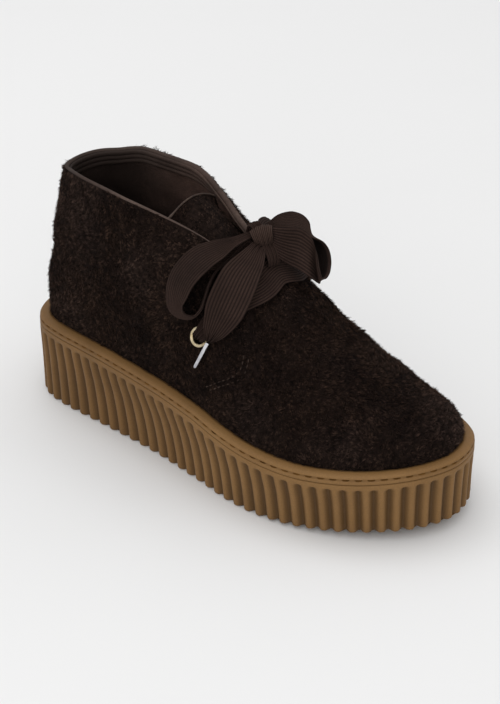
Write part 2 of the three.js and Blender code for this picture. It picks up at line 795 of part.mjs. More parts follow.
function makeAglet({ from, to }) {
  const start = new THREE.Vector3(from.x, from.y, from.z);
  const end = new THREE.Vector3(to.x, to.y, to.z);
  const radius = agletDiameter / 2;
  const tube = new THREE.CylinderGeometry(0.85 * radius, radius, start.distanceTo(end), 10);
  const middle = start.clone().lerp(end, 0.5);
  return placeAlong(tube, middle, end.clone().sub(start).normalize());
}

// The colours and finishes.
const materials = {
  gum: { color: 0x6c5335, roughness: 0.6, metalness: 0 },
  suede: { color: 0x201913, roughness: 0.95, metalness: 0 },
  lining: { color: 0x312823, roughness: 0.85, metalness: 0 },
  lace: { color: 0x33282a, roughness: 0.85, metalness: 0 },
  metal: { color: 0xa09a88, roughness: 0.35, metalness: 1 },
};

function addPiece(group, name, geometry, material) {
  geometry.computeVertexNormals();
  const mesh = new THREE.Mesh(geometry, new THREE.MeshStandardMaterial(materials[material]));
  mesh.name = name;
  group.add(mesh);
}

const shoe = new THREE.Group();
addPiece(shoe, 'outsole', makeOutsole(), 'gum');
addPiece(shoe, 'welt', makeWelt(), 'gum');
addPiece(shoe, 'upper', makeUpperWithHoles(), 'suede');
addPiece(shoe, 'insole', makeInsole(), 'lining');
addPiece(shoe, 'tongue', makeTongue(), 'suede');
for (const row of eyeletRows) {
  for (const line of sides) {
    addPiece(shoe, `eyelet_${row.name}_${line.name}`, makeEyelet(line, row), 'metal');
  }
  addPiece(shoe, `lace_bar_${row.name}`, makeBar(barRows[row.name]), 'lace');
}
addPiece(shoe, 'lace_knot', makeKnot(), 'lace');
for (const [name, rows] of Object.entries(bowRows)) {
  addPiece(shoe, name, makeBowPiece(rows), 'lace');
}
for (const [name, row] of Object.entries(agletRows)) {
  addPiece(shoe, name, makeAglet(row), 'metal');
}

// The origin is on the floor, in the middle of the sole's outline.
const reach = new THREE.Box3().setFromPoints(sides.flatMap((line) => line.points));
const middle = reach.getCenter(new THREE.Vector3());
shoe.position.set(-middle.x, -middle.y, 0);

export default shoe;
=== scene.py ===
"""Visual model of a chukka boot in long-nap suede on a ribbed platform sole, for the right foot.

The tables give shares of the shoe's named sizes. Lengths are in millimetres from the heel's back, and
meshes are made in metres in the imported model's frame: the toe points along +X, up is +Z, and the outer
side of the foot is -Y.
"""

import logging
import math
from dataclasses import dataclass, field, replace
from enum import Enum
from typing import Sequence

import bpy
import numpy as np
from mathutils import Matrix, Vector
from mathutils.kdtree import KDTree

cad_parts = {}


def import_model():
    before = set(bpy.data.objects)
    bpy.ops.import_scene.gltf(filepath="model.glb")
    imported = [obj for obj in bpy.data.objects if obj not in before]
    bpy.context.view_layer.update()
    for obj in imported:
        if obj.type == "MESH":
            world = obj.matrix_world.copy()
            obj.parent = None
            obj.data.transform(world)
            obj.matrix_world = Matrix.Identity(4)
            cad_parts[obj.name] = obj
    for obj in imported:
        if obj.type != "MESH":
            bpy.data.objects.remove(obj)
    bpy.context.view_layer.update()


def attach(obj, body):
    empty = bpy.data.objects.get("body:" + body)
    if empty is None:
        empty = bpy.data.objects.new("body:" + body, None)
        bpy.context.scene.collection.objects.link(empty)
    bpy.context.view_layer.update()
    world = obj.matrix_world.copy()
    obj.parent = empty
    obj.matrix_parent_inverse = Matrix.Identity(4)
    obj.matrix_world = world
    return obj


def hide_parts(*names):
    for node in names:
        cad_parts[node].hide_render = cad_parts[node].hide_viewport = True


log = logging.getLogger("chukka_boot")
MM = 0.001
Array = np.ndarray
Material = bpy.types.Material
Node = bpy.types.Node
Piece = bpy.types.Object
Socket = bpy.types.NodeSocket
Tree = bpy.types.NodeTree


class Side(Enum):
    """A side of the foot, with the sign of its Y."""

    OUTER = -1
    INNER = 1


class Slot(Enum):
    """A material slot."""

    GUM = "gum"
    SUEDE = "suede"
    LINING = "lining"
    LACE = "lace"
    EYELET_METAL = "eyelet_metal"
    AGLET_METAL = "aglet_metal"


# Curves and meshes.


@dataclass(frozen=True)
class Table:
    """Rows of numbers under the names of their columns, the first of which is the key."""

    columns: tuple[str, ...]
    rows: tuple[tuple[float, ...], ...]

    def column(self, name: str) -> Array:
        """The numbers of one column."""
        return np.array([row[self.columns.index(name)] for row in self.rows], float)

    def at(self, name: str, where: Array | float) -> Array:
        """Reads a smooth curve through a column, without overshoot.

        Args:
            name: The column.
            where: Values of the key, held to the table's own range.

        Returns:
            The column's value at each place.
        """
        keys = self.column(self.columns[0])
        values = self.column(name)
        spot = np.clip(np.asarray(where, float), keys[0], keys[-1])
        i = np.searchsorted(keys[1:-1], spot, side="left")
        slopes = np.diff(values) / np.diff(keys)
        before, after = slopes[:-1], slopes[1:]
        safe = np.where(before * after <= 0, 1.0, before + after)
        middle = np.where(before * after <= 0, 0.0, 2 * before * after / safe)
        tangents = np.concatenate([slopes[:1], middle, slopes[-1:]])
        step = keys[i + 1] - keys[i]
        t = (spot - keys[i]) / step
        rise = values[i + 1] - values[i]
        a, b = tangents[i] * step, tangents[i + 1] * step
        return values[i] + t * (a + t * (3 * rise - 2 * a - b + t * (a + b - 2 * rise)))


def unit(vectors: Array) -> Array:
    """Vectors scaled to a length of one."""
    return vectors / np.maximum(np.linalg.norm(vectors, axis=-1, keepdims=True), 1e-12)


def smooth_step(low: float, high: float, value: Array | float) -> Array:
    """A soft ramp from 0 at low to 1 at high."""
    t = np.clip((np.asarray(value, float) - low) / (high - low), 0, 1)
    return t * t * (3 - 2 * t)


def circle(first: Array, second: Array, sides: int) -> Array:
    """Directions evenly round a circle in the plane of two others, row by row."""
    angle = np.linspace(0, math.tau, sides, endpoint=False)[:, None]
    return first[..., None, :] * np.cos(angle) + second[..., None, :] * np.sin(angle)


def spline(points: Array, where: Array, closed: bool = False) -> Array:
    """A centripetal Catmull-Rom curve.

    Args:
        points: The places that the curve passes.
        where: Shares of the curve from 0 to 1, each span counting the same.
        closed: Whether the curve returns to its start.

    Returns:
        One place for each share.
    """
    count = len(points)
    if closed:
        ring = np.concatenate([points[-1:], points, points[:2]])
        spans = count
    else:
        ring = np.concatenate([2 * points[:1] - points[1:2], points, 2 * points[-1:] - points[-2:-1]])
        spans = count - 1
    at = np.clip(np.asarray(where, float), 0, 1) * spans
    i = np.minimum(at.astype(int), spans - 1)
    t = (at - i)[:, None]
    p0, p1, p2, p3 = (ring[i + k] for k in range(4))

    def gap(a: Array, b: Array) -> Array:
        """The knot distance between two places."""
        return np.maximum(np.sum((a - b) ** 2, axis=1, keepdims=True) ** 0.25, 1e-9)

    d0, d1, d2 = gap(p0, p1), gap(p1, p2), gap(p2, p3)
    m1 = ((p1 - p0) / d0 - (p2 - p0) / (d0 + d1) + (p2 - p1) / d1) * d1
    m2 = ((p2 - p1) / d1 - (p3 - p1) / (d1 + d2) + (p3 - p2) / d2) * d1
    c2 = -3 * p1 + 3 * p2 - 2 * m1 - m2
    c3 = 2 * p1 - 2 * p2 + m1 + m2
    return p1 + t * (m1 + t * (c2 + t * c3))


@dataclass
class Body:
    """A mesh in the making: places in metres, faces, and the finish of each face.

    uvs are places across and along a woven band. The last list says how far each place takes the finish's
    dark colour, from 0 to 1: painted shade, and on the nap's hair tips a random tone.
    """

    places: list[Array] = field(default_factory=list)
    faces: list[tuple[int, ...]] = field(default_factory=list)
    finishes: list[int] = field(default_factory=list)
    uvs: list[Array] = field(default_factory=list)
    painted_shades_and_tones: list[Array] = field(default_factory=list)
    count: int = 0

    def add_grid(self, grid: Array, around: bool = False, flip: bool = False, finish: int = 0) -> int:
        """Adds a grid of places with a quad in each cell.

        Args:
            grid: Places in rows, rows x columns x 3.
            around: Whether the last column meets the first.
            flip: Whether the faces turn the other way.
            finish: The faces' finish.

        Returns:
            The index of the grid's first place.
        """
        start = self.count
        rows, columns = grid.shape[:2]
        self.places.append(grid.reshape(-1, 3))
        self.count += rows * columns
        last = columns if around else columns - 1
        for r in range(rows - 1):
            for c in range(last):
                a = start + r * columns + c
                b = start + r * columns + (c + 1) % columns
                quad = (a, b, b + columns, a + columns)
                self.add_face(quad[::-1] if flip else quad, finish)
        return start

    def add_face(self, corners: Sequence[int], finish: int = 0) -> None:
        """Adds one face, unless its corners fall together."""
        if len(set(corners)) > 2:
            self.faces.append(tuple(corners))
            self.finishes.append(finish)

    def add_across(self, start: int, count: int, flip: bool = False, finish: int = 0) -> None:
        """Closes a ring that runs out along one side and back along the other with strips straight across.

        Args:
            start: The index of the ring's first place.
            count: The number of places in the ring.
            flip: Whether the faces turn the other way.
            finish: The faces' finish.
        """
        for i in range(count // 2):
            a, b = start + i, start + i + 1
            c, d = start + (count - i) % count, start + count - i - 1
            corners = list(dict.fromkeys([a, b, d, c]))
            self.add_face(corners[::-1] if flip else corners, finish)

    def add_tube(self, grid: Array, flip: bool = False) -> None:
        """Adds rings of places, joined in turn and closed across the first and the last.

        Args:
            grid: Places in rows, rows x columns x 3.
            flip: Whether the faces turn the other way.
        """
        start = self.add_grid(grid, around=True, flip=flip)
        rows, columns = grid.shape[:2]
        self.add_across(start, columns, flip=not flip)
        self.add_across(start + (rows - 1) * columns, columns, flip=flip)

    def build(self, name: str, finishes: Sequence[Material]) -> Piece:
        """Makes the Blender object, shaded smooth.

        Args:
            name: The piece's name.
            finishes: The materials that the faces' numbers stand for.

        Returns:
            The object, riding on the shoe.
        """
        mesh = bpy.data.meshes.new(name)
        mesh.from_pydata(np.concatenate(self.places).tolist(), [], self.faces)
        mesh.polygons.foreach_set("material_index", self.finishes)
        mesh.polygons.foreach_set("use_smooth", [True] * len(mesh.polygons))
        if self.uvs:
            layer = mesh.uv_layers.new(name="along")
            uvs = np.concatenate(self.uvs)
            corners = np.zeros(len(mesh.loops), int)
            mesh.loops.foreach_get("vertex_index", corners)
            layer.data.foreach_set("uv", uvs[corners].ravel())
        if self.painted_shades_and_tones:
            painted_shade_and_tone = mesh.attributes.new("painted_shade_and_tone", "FLOAT", "POINT")
            painted_shade_and_tone.data.foreach_set("value", np.concatenate(self.painted_shades_and_tones).astype(np.float32))
        for finish in finishes:
            mesh.materials.append(finish)
        mesh.validate()
        mesh.update()
        piece = bpy.data.objects.new(name, mesh)
        bpy.context.scene.collection.objects.link(piece)
        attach(piece, "root")
        return piece


def finish_piece(piece: Piece, slot: Slot, *nodes: str) -> Piece:
    """Hides the solids that a piece stands for and logs its number of faces.

    Args:
        piece: The object.
        slot: The piece's material slot; not used.
        nodes: The CAD nodes that it replaces.

    Returns:
        The same object.
    """
    if nodes:
        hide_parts(*nodes)
    log.info("%s: %d faces", piece.name, len(piece.data.polygons))
    return piece


# The shoe's form.


@dataclass(frozen=True)
class SideLine:
    """One side of the sole's outline, from the heel's back to the toe's tip, measured by its length."""

    side: Side
    points: Array
    lengths: Array

    @property
    def length(self) -> float:
        """The side's length."""
        return float(self.lengths[-1])

    def at(self, share: Array | float, inset: Array | float = 0.0) -> tuple[Array, Array]:
        """Finds places along the side.

        Args:
            share: Shares of the side's length.
            inset: How far in from the outline, in millimetres.

        Returns:
            The places and the directions out of the shoe, both in the plane.
        """
        share = np.atleast_1d(np.asarray(share, float))
        target = np.clip(share, 0, 1) * self.length
        runs = np.gradient(self.points, self.lengths, axis=0)
        outs = unit(np.stack([runs[:, 1], -runs[:, 0]], 1) * -self.side.value)
        outs[0], outs[-1] = (-1, 0), (1, 0)
        place = np.stack([np.interp(target, self.lengths, self.points[:, k]) for k in range(2)], 1)
        out = unit(np.stack([np.interp(target, self.lengths, outs[:, k]) for k in range(2)], 1))
        return place - out * np.reshape(np.broadcast_to(inset, share.shape), (-1, 1)), out


OUTLINE = (
    (0.000, 0.005), (0.010, -0.160), (0.034, -0.271), (0.069, -0.336), (0.124, -0.370), (0.202, -0.392),
    (0.341, -0.425), (0.502, -0.468), (0.652, -0.487), (0.775, -0.443), (0.891, -0.307), (0.970, -0.099),
    (0.998, 0.110), (0.970, 0.325), (0.890, 0.460), (0.779, 0.525), (0.652, 0.519), (0.502, 0.455),
    (0.341, 0.390), (0.202, 0.355), (0.124, 0.342), (0.069, 0.311), (0.034, 0.255), (0.010, 0.156),
)
SOLE = Table(
    ("along", "height", "outer", "inner"),
    (
        (0.0, 0.96, 0.1, 0.1),
        (0.08, 0.975, 0.2, 0.2),
        (0.28, 1.005, 0.75, 0.9),
        (0.42, 1.0, 1.0, 1.25),
        (0.52, 0.955, 0.85, 1.1),
        (0.6, 0.865, 0.6, 0.7),
        (0.68, 0.795, 0.45, 0.45),
        (0.78, 0.765, 0.4, 0.3),
        (0.88, 0.795, 0.4, 0.1),
        (1.0, 0.86, 0.1, 0.1),
    ),
)
UPPER = Table(
    ("round", "spine", "edge_height", "edge", "swell", "swell_rise", "shoulder", "shoulder_rise"),
    (
        (0.00, 0.140, 0.955, 0.76, 1.01, 0.35, 0.86, 0.70),
        (0.06, 0.142, 0.960, 0.72, 0.99, 0.35, 0.84, 0.70),
        (0.12, 0.160, 0.975, 0.645, 0.98, 0.35, 0.80, 0.70),
        (0.20, 0.210, 1.000, 0.76, 1.02, 0.35, 0.90, 0.70),
        (0.30, 0.305, 1.000, 0.77, 1.08, 0.36, 0.92, 0.72),
        (0.38, 0.390, 0.955, 0.55, 1.10, 0.42, 0.84, 0.80),
        (0.44, 0.460, 0.895, 0.34, 1.10, 0.46, 0.72, 0.88),
        (0.50, 0.530, 0.830, 0.24, 1.10, 0.50, 0.60, 0.93),
        (0.54, 0.575, 0.790, 0.20, 1.10, 0.52, 0.54, 0.96),
        (0.56, 0.598, 0.765, 0.00, 1.10, 0.53, 0.52, 0.98),
        (0.62, 0.670, 0.665, 0.00, 1.10, 0.55, 0.48, 1.00),
        (0.70, 0.760, 0.560, 0.00, 1.09, 0.57, 0.50, 1.00),
        (0.80, 0.835, 0.468, 0.00, 1.05, 0.57, 0.56, 1.00),
        (0.90, 0.860, 0.462, 0.00, 1.06, 0.55, 0.60, 0.98),
        (1.00, 0.860, 0.460, 0.00, 1.08, 0.53, 0.62, 0.98),
    ),
)
SPINE = Table(
    ("along", "across"),
    ((0.0, 0.0), (0.25, 0.0), (0.45, 0.0), (0.6, 0.0), (0.75, 0.035), (0.86, 0.085)),
)
TONGUE = Table(
    ("back", "crest", "spread", "droop"),
    (
        (0.0, 0.684, 0.46, 0.06),
        (0.05, 0.742, 0.6, 0.08),
        (0.11, 0.802, 0.74, 0.1),
        (0.17, 0.862, 0.82, 0.115),
        (0.22, 0.918, 0.8, 0.12),
        (0.26, 0.965, 0.7, 0.1),
        (0.275, 0.98, 0.66, 0.045),
    ),
)
QUARTER_EDGE = Table(
    ("up", "round"),
    ((0.0, 0.49), (0.2, 0.57), (0.4, 0.61), (0.52, 0.6), (0.64, 0.565), (0.8, 0.545), (1.0, 0.54)),
)
EYELETS = {"lower": (0.505, 0.4), "upper": (0.44, 0.7)}
EYELET_BORE = 7.4
EYELET_WALL = 0.6
LACE_WIDTH = 21
LACE_RIBS = 12
SECTION_SAMPLES = 1000
THROAT_START = (0.47, 0.52)


@dataclass
class ShoeForm:
    """The last's shape: the sole's outline and heights, and the upper's sections over it."""

    sole_length: float = 267
    ball_width: float = 106
    heel_height: float = 50
    waist_tuck: float = 7
    toe_spring: float = 6.5
    spring_start: float = 0.66
    spring_curve: float = 1.2
    welt_width: float = 6.6
    welt_height: float = 5
    collar_height: float = 138
    wall: float = 2
    quarter_step: float = 1.1
    clearance: float = 0.3
    softness: float = 0.014
    lines: dict[Side, SideLine] = field(init=False)
    middle: Array = field(init=False)
    sections: dict[str, Array] = field(init=False)

    def __post_init__(self) -> None:
        """Draws the outline's sides, finds the middle of the sole, and softens the upper's sections."""
        fine = np.linspace(0, 1, SECTION_SAMPLES + 1)
        spread = self.softness * SECTION_SAMPLES
        reach = int(4 * spread)
        bell = np.exp(-0.5 * (np.arange(-reach, reach + 1) / spread) ** 2)
        throat = smooth_step(*THROAT_START, fine)
        self.sections = {}
        for name in UPPER.columns[1:]:
            exact = UPPER.at(name, fine)
            soft = np.convolve(np.pad(exact, reach, mode="reflect"), bell / bell.sum(), mode="valid")
            self.sections[name] = soft * (1 - throat) + exact * throat
        points = np.array(OUTLINE) * (self.sole_length, self.ball_width)
        half = np.linspace(0, 0.5, 401)
        self.lines = {}
        for side in Side:
            where = half if side is Side.OUTER else (1 - half) % 1
            line = spline(points, where, closed=True)
            steps = np.linalg.norm(np.diff(line, axis=0), axis=1)
            self.lines[side] = SideLine(side, line, np.concatenate([[0], np.cumsum(steps)]))
        both = np.concatenate([line.points for line in self.lines.values()])
        self.middle = np.array([*(both.min(0) + both.max(0)) / 2, 0])

    def to_frame(self, places: Array) -> Array:
        """Places in millimetres from the heel's back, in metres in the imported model's frame."""
        return (np.asarray(places, float) - self.middle) * MM

    def sole_top(self, x: Array) -> Array:
        """The height of the welt's top."""
        return self.heel_height * SOLE.at("height", x / self.sole_length)

    def sole_bottom(self, x: Array) -> Array:
        """The height of the sole's underside, which springs up at the toe."""
        past = np.maximum(0, x / self.sole_length - self.spring_start) / (1 - self.spring_start)
        return self.toe_spring * past**self.spring_curve

    def sole_tuck(self, x: Array, side: Side) -> Array:
        """How far the sole's foot is tucked in under its top edge."""
        return self.waist_tuck * SOLE.at(side.name.lower(), x / self.sole_length)

    def ring(self, columns: int) -> list[tuple[SideLine, Array, slice]]:
        """The two halves of a ring round the shoe.

        Args:
            columns: The number of places on each side.

        Returns:
            For each side its line, its shares in the ring's order, and where they go in the ring.
        """
        shares = np.arange(columns) / columns
        return [
            (self.lines[Side.OUTER], shares, slice(0, columns)),
            (self.lines[Side.INNER], 1 - shares, slice(columns, 2 * columns)),
        ]

    def upper_point(self, side: Side, around: Array, up: Array) -> Array:
        """Places on the upper's outside.

        Args:
            side: The side of the foot.
            around: Shares from the heel's back to the toe's tip.
            up: Shares from the welt to the collar, throat or ridge.

        Returns:
            The places, in millimetres from the heel's back.
        """
        around, up = (np.ravel(v) for v in np.broadcast_arrays(np.asarray(around, float), up))
        fine = np.linspace(0, 1, SECTION_SAMPLES + 1)
        rows = {name: np.interp(around, fine, values) for name, values in self.sections.items()}
        spine_x = rows["spine"] * self.sole_length
        spine = np.stack([spine_x, SPINE.at("across", rows["spine"]) * self.ball_width], 1)
        foot, _ = self.lines[side].at(around, self.welt_width)
        low = self.sole_top(foot[:, 0])
        rise = rows["edge_height"] * self.collar_height - low
        v = 1 - up
        low_part, high_part = 3 * v * v * up, 3 * v * up * up
        share = v**3 + low_part * rows["swell"] + high_part * rows["shoulder"] + up**3 * rows["edge"]
        lift = low_part * rows["swell_rise"] + high_part * rows["shoulder_rise"] + up**3
        flat = spine + (foot - spine) * share[:, None]
        return np.concatenate([flat, (low + rise * lift)[:, None]], 1)

    def upper_normal(self, side: Side, around: Array, up: Array, small: float = 0.004) -> Array:
        """The directions out of the upper at places on it."""
        around, up = (np.ravel(v) for v in np.broadcast_arrays(np.asarray(around, float), up))
        ahead = self.upper_point(side, np.minimum(around + small, 1), up)
        behind = self.upper_point(side, np.maximum(around - small, 0), up)
        above = self.upper_point(side, around, np.minimum(up + small, 1))
        below = self.upper_point(side, around, np.maximum(up - small, 0))
        return unit(np.cross(ahead - behind, above - below)) * -side.value


# Shader groups and finishes.


def linear(shade: Sequence[float]) -> tuple[float, float, float, float]:
    """A colour given in 0 to 255 as the screen shows it, in the light's own scale."""
    values = [c / 255 for c in shade]
    light = [c / 12.92 if c <= 0.04045 else ((c + 0.055) / 1.055) ** 2.4 for c in values]
    return (light[0], light[1], light[2], 1.0)


class Graph:
    """A node tree that is being wired."""

    def __init__(self, tree: Tree) -> None:
        """Starts with an empty tree."""
        self.tree = tree
        tree.nodes.clear()

    def node(self, kind: str, **settings: object) -> Node:
        """Adds a node.

        Args:
            kind: The node's type.
            settings: Its properties by name.

        Returns:
            The node.
        """
        made = self.tree.nodes.new(kind)
        for name, value in settings.items():
            setattr(made, name, value)
        return made

    def feed(self, socket: Socket, source: object) -> None:
        """Links a socket to an output, or sets it to a value."""
        if isinstance(source, Socket):
            self.tree.links.new(source, socket)
        else:
            socket.default_value = source

    def noise(self, vector: Socket, scale: object, detail: float, rough: float = 0.55) -> Socket:
        """Cloudy noise.

        Args:
            vector: The coordinates.
            scale: Its scale, a number or a socket.
            detail: Its levels of detail.
            rough: How strong the fine levels are.

        Returns:
            The noise's value.
        """
        made = self.node("ShaderNodeTexNoise")
        self.feed(made.inputs["Vector"], vector)
        self.feed(made.inputs["Scale"], scale)
        made.inputs["Detail"].default_value = detail
        made.inputs["Roughness"].default_value = rough
        return made.outputs["Fac"]

    def ramp(
        self, value: Socket, low: object, high: object, start: object = 0.0, end: object = 1.0
    ) -> Socket:
        """A value's range from low to high, spread over start to end.

        Args:
            value: The value.
            low: Where the range starts.
            high: Where it ends.
            start: The result at low.
            end: The result at high.

        Returns:
            The new value.
        """
        made = self.node("ShaderNodeMapRange", clamp=True)
        labels = ("Value", "From Min", "From Max", "To Min", "To Max")
        for label, source in zip(labels, (value, low, high, start, end)):
            self.feed(made.inputs[label], source)
        return made.outputs["Result"]

    def mix(self, share: object, first: object, second: object, blend: str = "MIX") -> Socket:
        """A mix of two colours.

        Args:
            share: How much of the second, a number or a socket.
            first: The first colour.
            second: The second colour.
            blend: The kind of mix.

        Returns:
            The mixed colour.
        """
        made = self.node("ShaderNodeMix", data_type="RGBA", blend_type=blend)
        for index, source in ((0, share), (6, first), (7, second)):
            self.feed(made.inputs[index], source)
        return made.outputs[2]

    def maths(self, operation: str, first: object, second: object = 0.0) -> Socket:
        """The result of a sum on two values."""
        made = self.node("ShaderNodeMath", operation=operation)
        self.feed(made.inputs[0], first)
        self.feed(made.inputs[1], second)
        return made.outputs[0]


class SharedGroups:
    """The shader groups that more than one finish uses, built once."""

    def __init__(self) -> None:
        """Builds the groups."""
        self.mottle = self._mottle()
        self.grain = self._grain()
        self.floor_darkening = self._floor_darkening()

    @staticmethod
    def _start(name: str, inputs: dict[str, object], outputs: dict[str, str]) -> tuple[Graph, Node, Node]:
        """Starts a group with its sockets.

        Args:
            name: The group's name.
            inputs: The inputs' defaults by name, a number or a colour.
            outputs: The outputs' socket types by name.

        Returns:
            The graph, the input node and the output node.
        """
        tree = bpy.data.node_groups.new(name, "ShaderNodeTree")
        for label, default in inputs.items():
            kind = "NodeSocketFloat" if isinstance(default, float) else "NodeSocketColor"
            socket = tree.interface.new_socket(name=label, in_out="INPUT", socket_type=kind)
            socket.default_value = default
        for label, kind in outputs.items():
            tree.interface.new_socket(name=label, in_out="OUTPUT", socket_type=kind)
        graph = Graph(tree)
        return graph, graph.node("NodeGroupInput"), graph.node("NodeGroupOutput")

    def _mottle(self) -> Tree:
        """Patches of three shades with fine flecks over them."""
        grey = (0.2, 0.2, 0.2, 1.0)
        inputs = {"Base": grey, "Dark": grey, "Light": grey}
        inputs |= {"Patch Scale": 30.0, "Fleck Scale": 900.0, "Fleck": 0.4}
        graph, given, made = self._start("mottle", inputs, {"Color": "NodeSocketColor"})
        where = graph.node("ShaderNodeTexCoord").outputs["Object"]
        patch = graph.noise(where, given.outputs["Patch Scale"], 4)
        wider = graph.noise(where, graph.maths("MULTIPLY", given.outputs["Patch Scale"], 0.47), 3)
        fleck = graph.noise(where, given.outputs["Fleck Scale"], 2)
        tone = graph.mix(graph.ramp(patch, 0.42, 0.68), given.outputs["Base"], given.outputs["Dark"])
        tone = graph.mix(graph.ramp(wider, 0.45, 0.66), tone, given.outputs["Light"])
        darkest = graph.maths("SUBTRACT", 1.0, given.outputs["Fleck"])
        lightest = graph.maths("ADD", 1.0, given.outputs["Fleck"])
        shade = graph.ramp(fleck, 0.3, 0.7, darkest, lightest)
        grey_shade = graph.node("ShaderNodeCombineColor")
        for k in range(3):
            graph.feed(grey_shade.inputs[k], shade)
        graph.feed(made.inputs["Color"], graph.mix(1.0, tone, grey_shade.outputs[0], "MULTIPLY"))
        return graph.tree

    def _grain(self) -> Tree:
        """Fine grain over broader unevenness, for a bump."""
        inputs = {"Fine Scale": 900.0, "Broad Scale": 120.0, "Broad Share": 0.4}
        outputs = {"Height": "NodeSocketFloat", "Mask": "NodeSocketFloat"}
        graph, given, made = self._start("grain", inputs, outputs)
        where = graph.node("ShaderNodeTexCoord").outputs["Object"]
        fine = graph.noise(where, given.outputs["Fine Scale"], 3, 0.65)
        broad = graph.noise(where, given.outputs["Broad Scale"], 2)
        share = given.outputs["Broad Share"]
        broad_part = graph.maths("MULTIPLY", broad, share)
        fine_part = graph.maths("MULTIPLY", fine, graph.maths("SUBTRACT", 1.0, share))
        both = graph.maths("ADD", broad_part, fine_part)
        graph.feed(made.inputs["Height"], both)
        graph.feed(made.inputs["Mask"], graph.ramp(both, 0.35, 0.65))
        return graph.tree

    def _floor_darkening(self) -> Tree:
        """Patchy darkening that is strongest near the floor."""
        inputs = {"Low": 0.0, "High": 0.02, "Amount": 0.5}
        graph, given, made = self._start("floor_darkening", inputs, {"Mask": "NodeSocketFloat"})
        where = graph.node("ShaderNodeTexCoord").outputs["Object"]
        split = graph.node("ShaderNodeSeparateXYZ")
        graph.feed(split.inputs[0], where)
        height = graph.ramp(split.outputs[2], given.outputs["Low"], given.outputs["High"], 1.0, 0.0)
        patchy = graph.ramp(graph.noise(where, 90.0, 4), 0.35, 0.65, 0.25, 1.0)
        darkening = graph.maths("MULTIPLY", height, patchy)
        graph.feed(made.inputs["Mask"], graph.maths("MULTIPLY", darkening, given.outputs["Amount"]))
        return graph.tree


